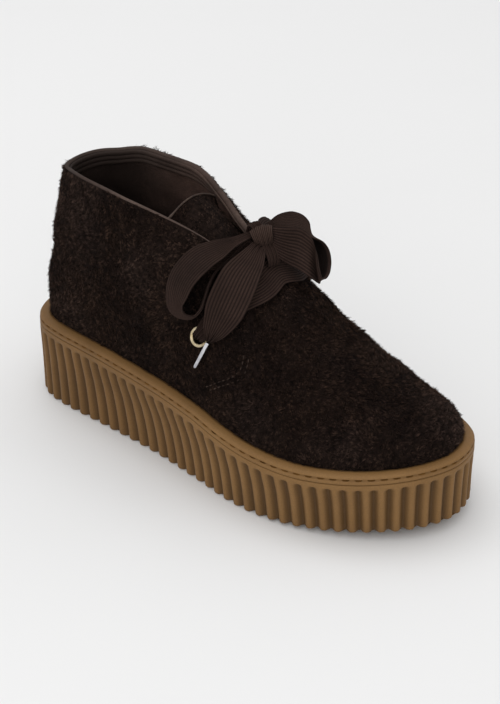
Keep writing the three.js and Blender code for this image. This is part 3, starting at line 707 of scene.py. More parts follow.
@dataclass(frozen=True)
class Finish:
    """A surface: three shades from 0 to 255, its unevenness and its gloss.

    A rib pitch, in metres, paints shade into the grooves between a woven band's ribs. Places that a mesh
    marks take the dark colour as strongly as the finish asks: painted shade, and on the nap's hair tips a
    random tone. The colour can also grow darker towards the floor, in patches.
    """

    name: str
    base: tuple[float, float, float]
    dark: tuple[float, float, float]
    light: tuple[float, float, float]
    patch_scale: float = 30.0
    fleck_scale: float = 900.0
    fleck: float = 0.3
    rough: tuple[float, float] = (0.85, 0.95)
    fine_scale: float = 900.0
    broad_scale: float = 150.0
    broad_share: float = 0.4
    bump: float = 0.5
    bump_depth: float = 0.0004
    specular: float = 0.5
    metallic: float = 0.0
    floor_darkening: float = 0.0
    floor_darkening_colour: tuple[float, float, float] = (150, 135, 115)
    floor_darkening_high: float = 0.02
    across_ribs: float = 0.0
    rib_pitch: float = 0.0
    painted_shade_and_tone: float = 0.0
    painted_shade_and_tone_colour: tuple[float, float, float] = (20, 15, 12)

    def material(self, groups: SharedGroups) -> Material:
        """Wires the finish.

        Args:
            groups: The shared shader groups.

        Returns:
            The material.
        """
        made = bpy.data.materials.new(self.name)
        made.use_nodes = True
        graph = Graph(made.node_tree)
        shader = graph.node("ShaderNodeBsdfPrincipled")
        output = graph.node("ShaderNodeOutputMaterial")
        graph.feed(output.inputs["Surface"], shader.outputs["BSDF"])
        graph.feed(shader.inputs["Base Color"], self._colour(graph, groups))
        grain = self._group(graph, groups.grain, {
            "Fine Scale": self.fine_scale, "Broad Scale": self.broad_scale, "Broad Share": self.broad_share,
        })
        graph.feed(shader.inputs["Roughness"], graph.ramp(grain.outputs["Mask"], 0.0, 1.0, *self.rough))
        bump = graph.node("ShaderNodeBump")
        bump.inputs["Strength"].default_value = self.bump
        bump.inputs["Distance"].default_value = self.bump_depth
        graph.feed(bump.inputs["Height"], self._height(graph, grain))
        graph.feed(shader.inputs["Normal"], bump.outputs["Normal"])
        shader.inputs["Metallic"].default_value = self.metallic
        shader.inputs["Specular IOR Level"].default_value = self.specular
        return made

    @staticmethod
    def _group(graph: Graph, tree: Tree, values: dict[str, object]) -> Node:
        """Places a shared group with its own values."""
        made = graph.node("ShaderNodeGroup", node_tree=tree)
        for name, value in values.items():
            made.inputs[name].default_value = value
        return made

    def _colour(self, graph: Graph, groups: SharedGroups) -> Socket:
        """The shades in patches, with painted shade in a band's grooves and on the places that a mesh marks,
        and darker towards the floor.

        Args:
            graph: The material's graph.
            groups: The shared groups.

        Returns:
            The colour.
        """
        mottle = self._group(graph, groups.mottle, {
            "Base": linear(self.base), "Dark": linear(self.dark), "Light": linear(self.light),
            "Patch Scale": self.patch_scale, "Fleck Scale": self.fleck_scale, "Fleck": self.fleck,
        })
        colour = mottle.outputs["Color"]
        # Painted shade in the grooves between a woven band's ribs.
        if self.rib_pitch:
            across, _ = self._band_places(graph)
            wave = graph.maths("COSINE", graph.maths("MULTIPLY", across, math.tau / self.rib_pitch))
            colour = graph.mix(graph.ramp(wave, -0.2, 1.0, 0.0, 0.75), colour, linear(self.painted_shade_and_tone_colour))
        # Painted shade on the places that a mesh marks; on the nap's hair tips the same mix gives a random
        # tone.
        if self.painted_shade_and_tone:
            depth = graph.node("ShaderNodeAttribute", attribute_name="painted_shade_and_tone").outputs["Fac"]
            colour = graph.mix(graph.maths("MULTIPLY", depth, self.painted_shade_and_tone), colour, linear(self.painted_shade_and_tone_colour))
        # Darker towards the floor, in patches.
        if self.floor_darkening:
            darkening = self._group(graph, groups.floor_darkening, {"Low": 0.0, "High": self.floor_darkening_high, "Amount": self.floor_darkening})
            colour = graph.mix(darkening.outputs["Mask"], colour, linear(self.floor_darkening_colour))
        return colour

    def _height(self, graph: Graph, grain: Node) -> Socket:
        """The bump's height: the grain, and the fine cross ribs of a woven band where it has them.

        Args:
            graph: The material's graph.
            grain: The grain's node.

        Returns:
            The height, from 0 to 1.
        """
        if not self.across_ribs:
            return grain.outputs["Height"]
        across, along = self._band_places(graph)
        turns = self.across_ribs * math.tau
        wave = graph.maths("SINE", graph.maths("MULTIPLY", along, turns))
        slant = graph.maths("SINE", graph.maths("MULTIPLY", across, turns * 0.35))
        weave = graph.maths("MULTIPLY", graph.maths("ADD", graph.maths("MULTIPLY", wave, slant), 1.0), 0.5)
        fine = graph.maths("MULTIPLY", grain.outputs["Height"], 0.4)
        return graph.maths("ADD", graph.maths("MULTIPLY", weave, 0.6), fine)

    @staticmethod
    def _band_places(graph: Graph) -> tuple[Socket, Socket]:
        """The places across and along a woven band."""
        split = graph.node("ShaderNodeSeparateXYZ")
        graph.feed(split.inputs[0], graph.node("ShaderNodeUVMap", uv_map="along").outputs["UV"])
        return split.outputs[0], split.outputs[1]


NAP = Finish(
    "suede_nap", base=(26, 18, 15), dark=(17, 12, 11), light=(31, 23, 20), patch_scale=38, fleck_scale=420,
    fleck=0.6, rough=(0.9, 1.0), fine_scale=700, broad_scale=260, bump=1.0, bump_depth=0.0016, specular=0.05,
)
# The hairs' dark colour is painted shade at their roots and a random tone at their tips.
NAP_HAIR = Finish(
    "suede_hair", base=(84, 64, 53), dark=(56, 41, 35), light=(98, 78, 69), patch_scale=38, fleck_scale=360,
    fleck=0.8, rough=(0.8, 0.95), bump=0.0, specular=0.08, painted_shade_and_tone=0.92, painted_shade_and_tone_colour=(15, 11, 9),
)
# The folded edge and the facing take painted shade towards the heel.
EDGE = Finish(
    "folded_edge", base=(76, 60, 53), dark=(55, 43, 37), light=(92, 76, 68), patch_scale=60, fleck=0.2,
    rough=(0.7, 0.85), fine_scale=1200, bump=0.4, bump_depth=0.0003, specular=0.2,
    painted_shade_and_tone=0.9, painted_shade_and_tone_colour=(34, 25, 21),
)
# The lining and the footbed take painted shade towards the heel, towards the bottom and deep inside.
LINING = Finish(
    "lining_leather", base=(112, 87, 77), dark=(78, 58, 50), light=(134, 108, 97), patch_scale=42, fleck=0.15,
    rough=(0.75, 0.9), fine_scale=1500, broad_scale=60, broad_share=0.7, bump=0.7, bump_depth=0.003,
    specular=0.2, painted_shade_and_tone=0.94, painted_shade_and_tone_colour=(27, 19, 15),
)
# The gum's dark colour is painted shade in the grooves between the ribs; the gum also grows darker towards
# the floor, in patches.
GUM = Finish(
    "gum_rubber", base=(119, 87, 49), dark=(105, 76, 41), light=(129, 96, 56), patch_scale=22,
    fleck_scale=1300, fleck=0.1, rough=(0.55, 0.7), fine_scale=1800, broad_scale=260, bump=0.25,
    bump_depth=0.0003, specular=0.25, floor_darkening=0.25, floor_darkening_colour=(94, 68, 38), floor_darkening_high=0.012, painted_shade_and_tone=0.7,
    painted_shade_and_tone_colour=(48, 31, 14),
)
WELT_THREAD = Finish(
    "welt_thread", base=(84, 55, 22), dark=(62, 39, 14), light=(104, 71, 32), patch_scale=200, fleck=0.2,
    rough=(0.85, 1.0), fine_scale=2500, bump=0.6, bump_depth=0.0002, specular=0.05,
)
SEAM_THREAD = Finish(
    "seam_thread", base=(60, 47, 40), dark=(44, 34, 29), light=(76, 62, 54), patch_scale=200, fleck=0.2,
    rough=(0.6, 0.8), fine_scale=2500, bump=0.6, bump_depth=0.0002, specular=0.2,
)
# The lace's dark colour is painted shade: in the grooves between its ribs and inside the inner loop.
LACE = Finish(
    "lace_ribbon", base=(49, 36, 31), dark=(39, 28, 24), light=(57, 43, 38), patch_scale=50, fleck_scale=1500,
    fleck=0.2, rough=(0.85, 1.0), fine_scale=2400, broad_scale=700, bump=0.6, bump_depth=0.0003,
    specular=0.1, across_ribs=1300, rib_pitch=LACE_WIDTH * MM / LACE_RIBS, painted_shade_and_tone=0.9,
    painted_shade_and_tone_colour=(19, 13, 11),
)
# A lighter copy of the lace for the knot: painted light where it faces up into the light.
LACE_KNOT_PAINTED_LIGHT = replace(LACE, name="lace_knot", base=(60, 45, 39), dark=(50, 38, 33), light=(68, 53, 46))
EYELET_METAL = Finish(
    "eyelet_metal", base=(190, 172, 138), dark=(160, 142, 108), light=(214, 200, 170), patch_scale=260,
    fleck=0.06, rough=(0.22, 0.36), fine_scale=1500, bump=0.15, bump_depth=0.0002, metallic=1.0,
)
AGLET_METAL = Finish(
    "aglet_metal", base=(204, 204, 208), dark=(172, 172, 178), light=(226, 226, 230), patch_scale=300,
    fleck=0.04, rough=(0.14, 0.24), fine_scale=900, bump=0.1, bump_depth=0.0002, metallic=1.0,
)
FLOOR = Finish(
    "pale_floor", base=(234, 234, 234), dark=(233, 233, 233), light=(235, 235, 235), patch_scale=4, fleck=0.0,
    rough=(0.8, 0.9), bump=0.0, specular=0.1,
)


class Finishes:
    """The materials of the shoe, made once from their finishes."""

    def __init__(self) -> None:
        """Makes every material."""
        groups = SharedGroups()
        self.nap = NAP.material(groups)
        self.hair = NAP_HAIR.material(groups)
        self.edge = EDGE.material(groups)
        self.lining = LINING.material(groups)
        self.gum = GUM.material(groups)
        self.welt_thread = WELT_THREAD.material(groups)
        self.seam_thread = SEAM_THREAD.material(groups)
        self.lace = LACE.material(groups)
        self.lace_knot = LACE_KNOT_PAINTED_LIGHT.material(groups)
        self.eyelet = EYELET_METAL.material(groups)
        self.aglet = AGLET_METAL.material(groups)
        self.floor = FLOOR.material(groups)


# The lace.


def lace_rows(*rows: tuple[float, ...]) -> Array:
    """Rows of a lace's course: place, direction across it, and width as a share of the lace's."""
    return np.array(rows, float)


LOOP_OUTER = lace_rows(
    (141.9, -2.5, 130.0, 0.75, -0.65, -0.11, 0.18),
    (138.1, -11.0, 128.4, 0.84, -0.54, 0.09, 0.44),
    (133.4, -19.1, 125.3, 0.88, -0.42, -0.21, 0.71),
    (128.6, -27.9, 121.4, 0.95, -0.28, -0.15, 0.94),
    (125.7, -36.8, 114.2, 0.99, -0.16, 0.05, 0.98),
    (126.4, -43.0, 106.7, 0.95, -0.10, 0.28, 0.88),
    (128.2, -45.9, 101.0, 0.87, -0.22, 0.44, 0.77),
    (131.7, -45.5, 97.5, 0.79, -0.36, 0.50, 0.71),
    (136.1, -42.4, 96.5, 0.68, -0.47, 0.57, 0.68),
    (137.5, -38.7, 98.8, 0.61, -0.52, 0.60, 0.72),
    (136.2, -33.8, 102.4, 0.61, -0.52, 0.60, 0.72),
    (134.9, -29.1, 107.9, 0.61, -0.50, 0.61, 0.73),
    (133.6, -22.5, 112.8, 0.62, -0.52, 0.59, 0.67),
    (135.4, -11.3, 119.1, 0.72, -0.52, 0.46, 0.49),
    (139.3, -3.3, 126.0, 0.66, -0.49, 0.56, 0.24),
)
END_OUTER = lace_rows(
    (148.5, -6.5, 126, 0.85, 0.4, -0.3, 0.4),
    (150.5, -14.5, 122.5, 0.85, 0.4, -0.3, 0.72),
    (151.3, -23, 117.5, 0.85, 0.4, -0.3, 0.95),
    (151.8, -30.5, 110, 0.85, 0.4, -0.3, 1),
    (151, -36, 101.5, 0.85, 0.4, -0.3, 0.95),
    (148.5, -39.8, 92, 0.85, 0.4, -0.3, 0.6),
    (146.3, -41.5, 86, 0.85, 0.4, -0.3, 0.18),
)
LOOP_INNER = lace_rows(
    (147.3, 2.6, 129.5, 0.21, -0.12, -0.97, 0.32),
    (151.5, 2.7, 127.6, 0.27, -0.35, -0.90, 0.66),
    (156.1, 6.4, 125.2, 0.14, -0.20, -0.97, 0.87),
    (163.8, 7.7, 125.2, 0.31, -0.41, -0.86, 1.01),
    (168.9, 8.9, 123.0, 0.34, -0.38, -0.86, 1.02),
    (170.3, 11.8, 118.5, 0.09, -0.06, -0.99, 0.99),
    (171.3, 13.0, 114.5, -0.16, 0.25, -0.96, 0.99),
    (172.1, 13.4, 110.9, -0.33, 0.48, -0.81, 0.96),
    (173.0, 13.3, 108.6, -0.53, 0.58, -0.61, 0.95),
    (172.6, 14.3, 108.4, -0.72, 0.47, -0.51, 0.93),
    (170.8, 17.5, 110.5, -0.83, 0.37, -0.42, 0.93),
    (167.9, 21.3, 114.6, -0.86, 0.33, -0.39, 0.93),
    (164.0, 24.2, 118.7, -0.86, 0.33, -0.39, 0.93),
    (159.9, 25.7, 121.5, -0.83, 0.42, -0.37, 0.93),
    (156.0, 26.4, 123.1, -0.74, 0.61, -0.29, 0.94),
    (153.8, 27.0, 125.4, -0.63, 0.77, -0.11, 0.95),
    (150.6, 25.2, 128.0, -0.63, 0.78, 0.04, 0.96),
    (146.9, 22.0, 129.4, -0.66, 0.74, 0.12, 0.93),
    (144.3, 16.8, 130.3, -0.71, 0.70, 0.12, 0.77),
    (143.5, 11.6, 131.0, -0.71, 0.69, 0.16, 0.51),
    (143.7, 7.5, 131.1, -0.71, 0.69, 0.13, 0.29),
)
END_INNER = lace_rows(
    (142, 6.5, 127, -0.9, -0.1, 0.3, 0.4),
    (138, 14, 126, -0.9, -0.1, 0.3, 0.7),
    (135, 24.5, 122, -0.9, -0.1, 0.3, 0.85),
    (133.5, 33, 113, -0.95, -0.1, 0.1, 0.9),
    (133, 38, 102.5, -0.95, -0.1, 0.1, 0.85),
    (132.5, 41, 92, -0.95, -0.1, 0.1, 0.55),
    (132, 42.2, 86, -0.95, -0.1, 0.1, 0.18),
)
START_OUTER = lace_rows((145, -1, 130, 0.85, 0.1, -0.5, 0.36))
TURN_OUTER = lace_rows(
    (145.5, -3, 126.5, 0.85, 0.1, -0.5, 0.36),
    (147.5, -2.6, 126.8, 0.85, 0.3, -0.4, 0.36),
)
START_INNER = lace_rows((146, 1.5, 131.5, 0.3, -0.3, -0.9, 0.36))
TURN_INNER = lace_rows(
    (146, 2.5, 128.5, -0.8, 0.4, 0.1, 0.3),
    (144.5, 2.6, 127, -0.9, 0.1, 0.3, 0.36),
)
BOW = {
    "outer": (START_OUTER, LOOP_OUTER, TURN_OUTER, END_OUTER),
    "inner": (START_INNER, LOOP_INNER, TURN_INNER, END_INNER),
}
KNOT_TUCKS = {
    "knot_tuck_front": lace_rows(
        (149, 0, 127.5, 0.1, 1, 0, 0.4),
        (152.5, -0.5, 124, 0.1, 1, 0, 0.44),
        (154.5, -0.8, 119.5, 0.1, 1, 0, 0.42),
        (154, -1, 116, 0.1, 1, 0, 0.36),
    ),
    "knot_tuck_back": lace_rows(
        (143, 0, 132, 0.1, 1, 0, 0.3),
        (140.5, 0.5, 134, 0.1, 1, 0, 0.32),
        (138, 1, 132.6, 0.1, 1, 0, 0.3),
        (136.5, 1.2, 129, 0.1, 1, 0, 0.26),
    ),
}
BARS = {
    "lower": {
        "rows": (
            (0.508, 0.41, 4.2, 0.32), (0.523, 0.56, 3.9, 0.65),
            (0.536, 0.74, 3.0, 0.75), (0.546, 0.92, 3.6, 0.76),
        ),
        "middle": (0.583, 0.816, 0.72, 45),
    },
    "upper": {
        "rows": ((0.442, 0.71, 4.4, 0.32), (0.457, 0.82, 4.1, 0.5), (0.485, 0.96, 3.2, 0.55)),
        "middle": (0.54, 0.884, 0.55, 25),
    },
}
AGLETS = {
    "outer": ((146, -41.7, 85.3), (140.2, -45.5, 70)),
    "inner": ((131.9, 42.2, 85.2), (131, 44.5, 69)),
}


@dataclass
class Lace:
    """The flat lace: two bars over the instep, the knot, and the bow's two halves with their tips."""

    form: ShoeForm
    finishes: Finishes
    width: float = LACE_WIDTH
    thickness: float = 1.4
    ribs: int = LACE_RIBS
    rib_depth: float = 0.4
    pleat: float = 0.9
    samples_across: int = 73
    steps_a_row: int = 8
    knot: tuple[float, float, float] = (146, 0, 129.5)
    knot_radii: tuple[float, float] = (5.2, 5.0)
    tip_diameter: float = 2.3

    def build(self) -> None:
        """Builds the bow first, then the bars and the knot."""
        tips = {side: self.tip(side) for side in AGLETS}
        for side, runs in BOW.items():
            self.half(side, np.concatenate(runs), tips[side])
        for name in BARS:
            self.bar(name)
        self.tied_knot()

    def half(self, side: str, rows: Array, tip: Piece) -> None:
        """Builds one half of the bow: its loop, its turn in the knot, and its end.

        Args:
            side: The side's name in the piece and in the solids that it stands for.
            rows: The rows of its course.
            tip: The tip on its end; not used.
        """
        inner = side == "inner"
        body, course = self.ribbon(rows, aslant=inner)
        # The inside of the inner loop takes painted shade.
        if inner:
            body.painted_shades_and_tones = [self.loop_shadow(len(rows), len(course))]
        piece = body.build(f"bow_{side}", [self.finishes.lace])
        finish_piece(piece, Slot.LACE, f"lace_loop_{side}", f"lace_end_{side}")

    def ribbon(self, rows: Array, cup: float = 0.0, aslant: bool = False) -> tuple[Body, Array]:
        """Lays the lace along a course.

        Args:
            rows: Place, direction across, and share of the width, row by row.
            cup: How far its edges turn away from its face.
            aslant: Whether its rows may lie aslant to the course.

        Returns:
            The body and the places along its middle, in metres.
        """
        where = np.linspace(0, 1, self.steps_a_row * len(rows) + 1)
        course = spline(rows[:, :3], where)
        run = unit(np.gradient(course, axis=0))
        at = where * (len(rows) - 1)
        across = np.stack([np.interp(at, np.arange(len(rows)), rows[:, 3 + k]) for k in range(3)], 1)
        across = self.calm(across)
        if not aslant:
            across = across - run * np.sum(across * run, axis=1, keepdims=True)
        across = unit(across)
        face = unit(np.cross(run, across))
        share = self.calm(np.interp(at, np.arange(len(rows)), rows[:, 6])[:, None])[:, 0]
        return self.band(course, across, face, share, cup), self.form.to_frame(course)

    def loop_shadow(self, rows: int, steps: int) -> Array:
        """How dark the inside of the inner loop is, place by place, behind its light near edge.

        Args:
            rows: The number of rows in the loop's half of the bow.
            steps: The number of places along it.

        Returns:
            The shades, from 0 to 1.
        """
        at = np.linspace(0, rows - 1, steps)
        along = smooth_step(8.8, 10.4, at) * (1 - smooth_step(15.5, 17, at))
        a = np.linspace(-1, 1, self.samples_across)
        inside = along[:, None] * smooth_step(-0.84, -0.62, a)[None, :]
        return np.concatenate([inside, np.zeros_like(inside)], axis=1).ravel()

    @staticmethod
    def calm(values: Array, passes: int = 6) -> Array:
        """Values along a course with their corners softened."""
        values = values.copy()
        for _ in range(passes):
            values[1:-1] = 0.25 * values[:-2] + 0.5 * values[1:-1] + 0.25 * values[2:]
        return values

    def band(self, course: Array, across: Array, face: Array, share: Array, cup: float = 0.0) -> Body:
        """Makes the woven band with its lengthwise ribs, gathered into pleats where it is narrow.

        Args:
            course: Places along the middle.
            across: Directions across the band.
            face: Directions out of its face.
            share: The width at each place, as a share of the lace's.
            cup: How far the band's edges turn away from its face.

        Returns:
            The body.
        """
        a = np.linspace(-1, 1, self.samples_across)
        dome = (1 - np.abs(a) ** 10) ** 0.5
        ribs = self.rib_depth * (0.5 + 0.5 * np.cos(math.pi * self.ribs * (a + 1) + math.pi)) * dome
        top = dome * (self.thickness / 2 - self.rib_depth) + ribs
        gathered = smooth_step(0.3, 0.8, 1 - share)[:, None]
        fold = self.pleat * gathered * np.cos(math.pi * 4 * a + 0.6)[None, :] * (1 - a**2)[None, :]
        fold = fold - cup * (a**2)[None, :]
        side = course[:, None] + across[:, None] * (a[None, :] * share[:, None] * self.width / 2)[..., None]
        upper = side + face[:, None] * (fold + top[None, :])[..., None]
        lower = side + face[:, None] * (fold - top[None, :])[..., None]
        grid = self.form.to_frame(np.concatenate([upper, lower[:, ::-1]], axis=1))
        body = Body()
        body.add_tube(grid)
        lengths = np.concatenate([[0], np.cumsum(np.linalg.norm(np.diff(course, axis=0), axis=1))]) * MM
        round_band = np.concatenate([a, a[::-1]]) * self.width / 2 * MM
        body.uvs.append(np.stack(np.meshgrid(round_band, lengths), -1).reshape(-1, 2))
        return body

    def bar(self, name: str) -> None:
        """Builds one bar, which rises out of its eyelets and lies over the instep.

        Args:
            name: The bar's name, which its two eyelets share.
        """
        rows, (along, crest, width, tilt) = BARS[name]["rows"], BARS[name]["middle"]
        halves = []
        for side in Side:
            around, up, lift, share = np.array(rows).T
            out = self.form.upper_normal(side, around, up)
            place = self.form.upper_point(side, around, up) + out * lift[:, None]
            fore, aft = (self.form.upper_point(side, around + step, up) for step in (0.01, -0.01))
            half = np.concatenate([place, unit(fore - aft), share[:, None]], axis=1)
            halves.append(np.concatenate([self.into_eyelet(side, name, half[0]), half]))
        angle = math.radians(tilt)
        over = lace_rows((
            along * self.form.sole_length, 0, crest * self.form.collar_height,
            math.cos(angle), 0, -math.sin(angle), width,
        ))
        course = np.concatenate([halves[0], over, halves[1][::-1]])
        body, _ = self.ribbon(course)
        finish_piece(body.build(f"bar_{name}", [self.finishes.lace]), Slot.LACE, f"lace_bar_{name}")

    def into_eyelet(self, side: Side, name: str, first: Array) -> Array:
        """The rows that take a bar down into its eyelet."""
        around, up = EYELETS[name]
        out = self.form.upper_normal(side, around, up)[0]
        place = self.form.upper_point(side, around, up)[0]
        depths = (-2.5, 1.2, 3.4)
        return np.array([[*(place + out * depth), *first[3:6], 0.3] for depth in depths])

    def tied_knot(self) -> None:
        """Builds the knot: the lace wrapped once round the bow's middle, with a tuck above and below."""
        angle = np.radians(np.linspace(-170, 200, 15))
        across = unit(np.array([0.66, 0.71, 0.24]))
        facing = unit(np.array([0.578, -0.689, 0.438]))
        over = np.cross(facing, across)
        deep, tall = self.knot_radii
        rows = []
        for a in angle:
            place = np.array(self.knot) + facing * (deep * math.cos(a)) + over * (tall * math.sin(a))
            rows.append([*place, *across, 0.5 + 0.07 * math.sin(a)])
        body, _ = self.ribbon(np.array(rows), cup=-1.5)
        # The knot takes the lighter copy of the lace: painted light.
        finish_piece(body.build("knot_wrap", [self.finishes.lace_knot]), Slot.LACE, "lace_knot")
        for name, tuck_rows in KNOT_TUCKS.items():
            tuck, _ = self.ribbon(tuck_rows)
            finish_piece(tuck.build(name, [self.finishes.lace]), Slot.LACE)

    def tip(self, side: str) -> Piece:
        """Builds one tip: a rolled tube with a crimped shoulder and a rounded end.

        Args:
            side: The side of the bow that it ends.

        Returns:
            The finished piece.
        """
        start, end = (np.array(p, float) for p in AGLETS[side])
        run = unit(end - start)
        across = unit(np.cross(run, (1.0, 0.0, 0.0)))
        other = np.cross(run, across)
        length = float(np.linalg.norm(end - start))
        radius = self.tip_diameter / 2
        profile = [
            (0.0, 0.2), (0.0, 0.86), (0.02, 0.97), (0.06, 1.0), (0.2, 1.0), (0.23, 0.9), (0.27, 0.9),
            (0.3, 0.98), (0.9, 0.9), (0.96, 0.82), (0.99, 0.6), (1.0, 0.2),
        ]
        ring = circle(across, other, 28)
        rings = [start + run * (along * length) + ring * (r * radius) for along, r in profile]
        body = Body()
        body.add_tube(self.form.to_frame(np.stack(rings)), flip=True)
        piece = body.build(f"tip_{side}", [self.finishes.aglet])
        return finish_piece(piece, Slot.AGLET_METAL, f"aglet_{side}")


# The sole.


@dataclass
class Sole:
    """The ribbed platform, the stitched welt over it and the insole inside."""

    form: ShoeForm
    finishes: Finishes
    edge_radius: float = 1.6
    band_height: float = 2.4
    ribs: int = 42
    rib_depth: float = 2.7
    run_out: float = 2.6
    lean: float = 2.5
    per_rib: int = 12
    stitch_groove: float = 0.8
    stitch_length: float = 4.6
    stitch_pitch: float = 6.4
    # How much painted shade lies over the whole footbed.
    footbed_shade: float = 0.6

    def build(self) -> None:
        """Builds the sole's pieces from the floor up."""
        self.platform()
        self.welt()
        self.welt_stitches()
        self.insole()

    def platform(self) -> None:
        """Builds the outsole with its rounded ribs, which run out under a plain band."""
        radius = self.edge_radius
        levels = [
            (0.0, radius * (1 - math.cos(a)), 1.0, radius * (1 - math.sin(a)))
            for a in np.linspace(0, math.pi / 2, 5)
        ]
        levels += [(up, 0.0, 1.0, 0.0) for up in (0.25, 0.45, 0.65)]
        levels += [
            (1.0, -self.run_out * (1 - s), math.cos(s * math.pi / 2) ** 1.5, 0.0)
            for s in np.linspace(0, 1, 7)
        ]
        rings = [self.wall_ring(*level) for level in levels]
        for drop, inset in ((self.band_height * 0.5, 0.0), (0.7, 0.0), (0.2, 0.15), (0.0, 0.6)):
            rings.append(self.band_ring(drop, inset))
        body = Body()
        body.add_tube(self.form.to_frame(np.stack(rings)))
        ring = self.form.ring(self.ribs * self.per_rib)
        # Painted shade in the grooves between the ribs, fading out under the plain band.
        phases = np.concatenate([share * self.ribs for _, share, _ in ring])
        depth = (0.5 + 0.5 * np.cos(math.tau * phases)) ** 1.3
        strength = np.array([level[2] for level in levels] + [0.0] * 4)
        body.painted_shades_and_tones.append((strength[:, None] * depth[None, :]).ravel())
        finish_piece(body.build("platform_sole", [self.finishes.gum]), Slot.GUM, "outsole")

    def wall_ring(self, up: float, lift: float, rib: float, inset: float) -> Array:
        """One ring of the ribbed wall.

        Args:
            up: The share of the wall from the floor to the ribs' tops.
            lift: A height added to it.
            rib: How deep the grooves are there.
            inset: How far the ring is drawn in.

        Returns:
            The ring's places, in millimetres.
        """
        columns = self.ribs * self.per_rib
        ring = np.zeros((2 * columns, 3))
        for line, share, part in self.form.ring(columns):
            lean = self.lean * np.sin(math.pi * share) ** 1.2 * up / line.length
            foot, _ = line.at(share)
            top, out = line.at(np.clip(share - lean, 0, 1))
            low = self.form.sole_bottom(foot[:, 0])
            high = self.band_bottom(top[:, 0])
            phase = share * self.ribs
            groove = self.rib_depth * rib * (0.5 + 0.5 * np.cos(math.tau * phase)) ** 1.6
            tuck = self.form.sole_tuck(top[:, 0], line.side) * (1 - up**1.7)
            ring[part, :2] = top - out * (tuck + groove + inset)[:, None]
            ring[part, 2] = low + (high - low) * up + lift
        return ring

    def band_top(self, x: Array) -> Array:
        """The height of the plain band's top."""
        return self.form.sole_top(x) - self.form.welt_height - self.form.clearance

    def band_bottom(self, x: Array) -> Array:
        """The height of the ribs' tops."""
        return self.band_top(x) - self.band_height

    def band_ring(self, drop: float, inset: float) -> Array:
        """One ring of the plain band.

        Args:
            drop: How far it lies below the band's top.
            inset: How far it is drawn in from the outline.

        Returns:
            Its places.
        """
        columns = self.ribs * self.per_rib
        ring = np.zeros((2 * columns, 3))
        for line, share, part in self.form.ring(columns):
            lean = self.lean * np.sin(math.pi * share) ** 1.2 / line.length
            place, _ = line.at(np.clip(share - lean, 0, 1), inset)
            ring[part, :2] = place
            ring[part, 2] = self.band_top(place[:, 0]) - drop
        return ring

    def level_ring(self, columns: int, inset: float, lift: float) -> Array:
        """A ring drawn in from the outline, at a height over the welt's bottom.

        Args:
            columns: The number of places on each side.
            inset: How far in.
            lift: How high.

        Returns:
            The ring's places, in millimetres.
        """
        ring = np.zeros((2 * columns, 3))
        for line, share, part in self.form.ring(columns):
            place, _ = line.at(share, inset)
            ring[part, :2] = place
            ring[part, 2] = self.form.sole_top(place[:, 0]) - self.form.welt_height + lift
        return ring

    def welt(self) -> None:
        """Builds the welt: a rounded lip with a groove for its stitches."""
        width, height, groove = self.form.welt_width, self.form.welt_height, self.stitch_groove
        profile = [
            (0.3, 0.0), (width - 0.3, 0.0), (width, 0.25), (width, 1.6), (width - 0.15, 1.9),
            (width - groove, 2.2), (width - groove, 2.8), (width - 0.3, 3.1), (width - 0.2, 3.35),
            (width - 0.45, 3.8), (width - 1.0, 4.3), (width - 1.9, 4.65), (width - 3.0, 4.85),
            (width - 4.4, 4.95), (0.3, height),
        ]
        rings = np.stack([self.level_ring(260, width - out, up) for out, up in profile + profile[:1]])
        body = Body()
        body.add_grid(self.form.to_frame(rings), around=True)
        finish_piece(body.build("welt_lip", [self.finishes.gum]), Slot.GUM, "welt")

    def welt_stitches(self) -> None:
        """Lays the stitches in the welt's groove, all round the shoe."""
        body = Body()
        inset = self.stitch_groove - 0.25
        for line in self.form.lines.values():
            count = int(line.length / self.stitch_pitch)
            for k in range(count):
                share = (k + 0.5 + np.linspace(-0.5, 0.5, 5) * self.stitch_length / self.stitch_pitch) / count
                place, out = line.at(share, inset)
                z = self.form.sole_top(place[:, 0]) - self.form.welt_height + 2.5
                thread(body, self.form, np.column_stack([place, z]), np.column_stack([out, 0 * z]), 0.42)
        finish_piece(body.build("welt_stitches", [self.finishes.welt_thread]), Slot.GUM)

    def insole(self) -> None:
        """Builds the insole with a rounded edge and a heel that is dished by use."""
        inset = self.form.welt_width + self.form.wall + self.form.clearance + 0.4
        steps = [
            (0.0, 0.0), (0.0, 2.2), (0.3, 2.8), (1.0, 3.0),
            (5.0, 2.9), (11.0, 2.6), (18.0, 2.4), (26.0, 2.3),
        ]
        rings = np.stack([self.level_ring(110, inset + s, up) for s, up in steps])
        body = Body()
        body.add_tube(self.form.to_frame(rings))
        # Painted shade over the whole footbed, deep inside the boot.
        body.painted_shades_and_tones.append(np.full(body.count, self.footbed_shade))
        finish_piece(body.build("footbed", [self.finishes.lining]), Slot.LINING, "insole")


def thread(body: Body, form: ShoeForm, course: Array, out: Array, radius: float, sides: int = 6) -> None:
    """Adds one stitch: a short thread along a course, with rounded ends that dip in.

    Args:
        body: The body that it joins.
        form: The shoe's form.
        course: Places along it, in millimetres.
        out: The surface's directions out at those places.
        radius: The thread's radius.
        sides: The number of its sides.
    """
    run = unit(np.gradient(course, axis=0))
    across = unit(np.cross(run, out))
    over = np.cross(across, run)
    t = np.linspace(-1, 1, len(course))
    thick = radius * np.sqrt(np.maximum(1 - np.abs(t) ** 3, 0.04))
    sunk = course - over * (radius * 1.2 * np.abs(t) ** 3)[:, None]
    grid = sunk[:, None] + circle(across, over, sides) * thick[:, None, None]
    body.add_tube(form.to_frame(grid))


# The upper.


@dataclass(frozen=True)
class Crease:
    """A soft trough or ridge in the suede, from one place on the upper to another."""

    side: Side
    course: tuple[tuple[float, float], ...]
    width: float
    depth: float


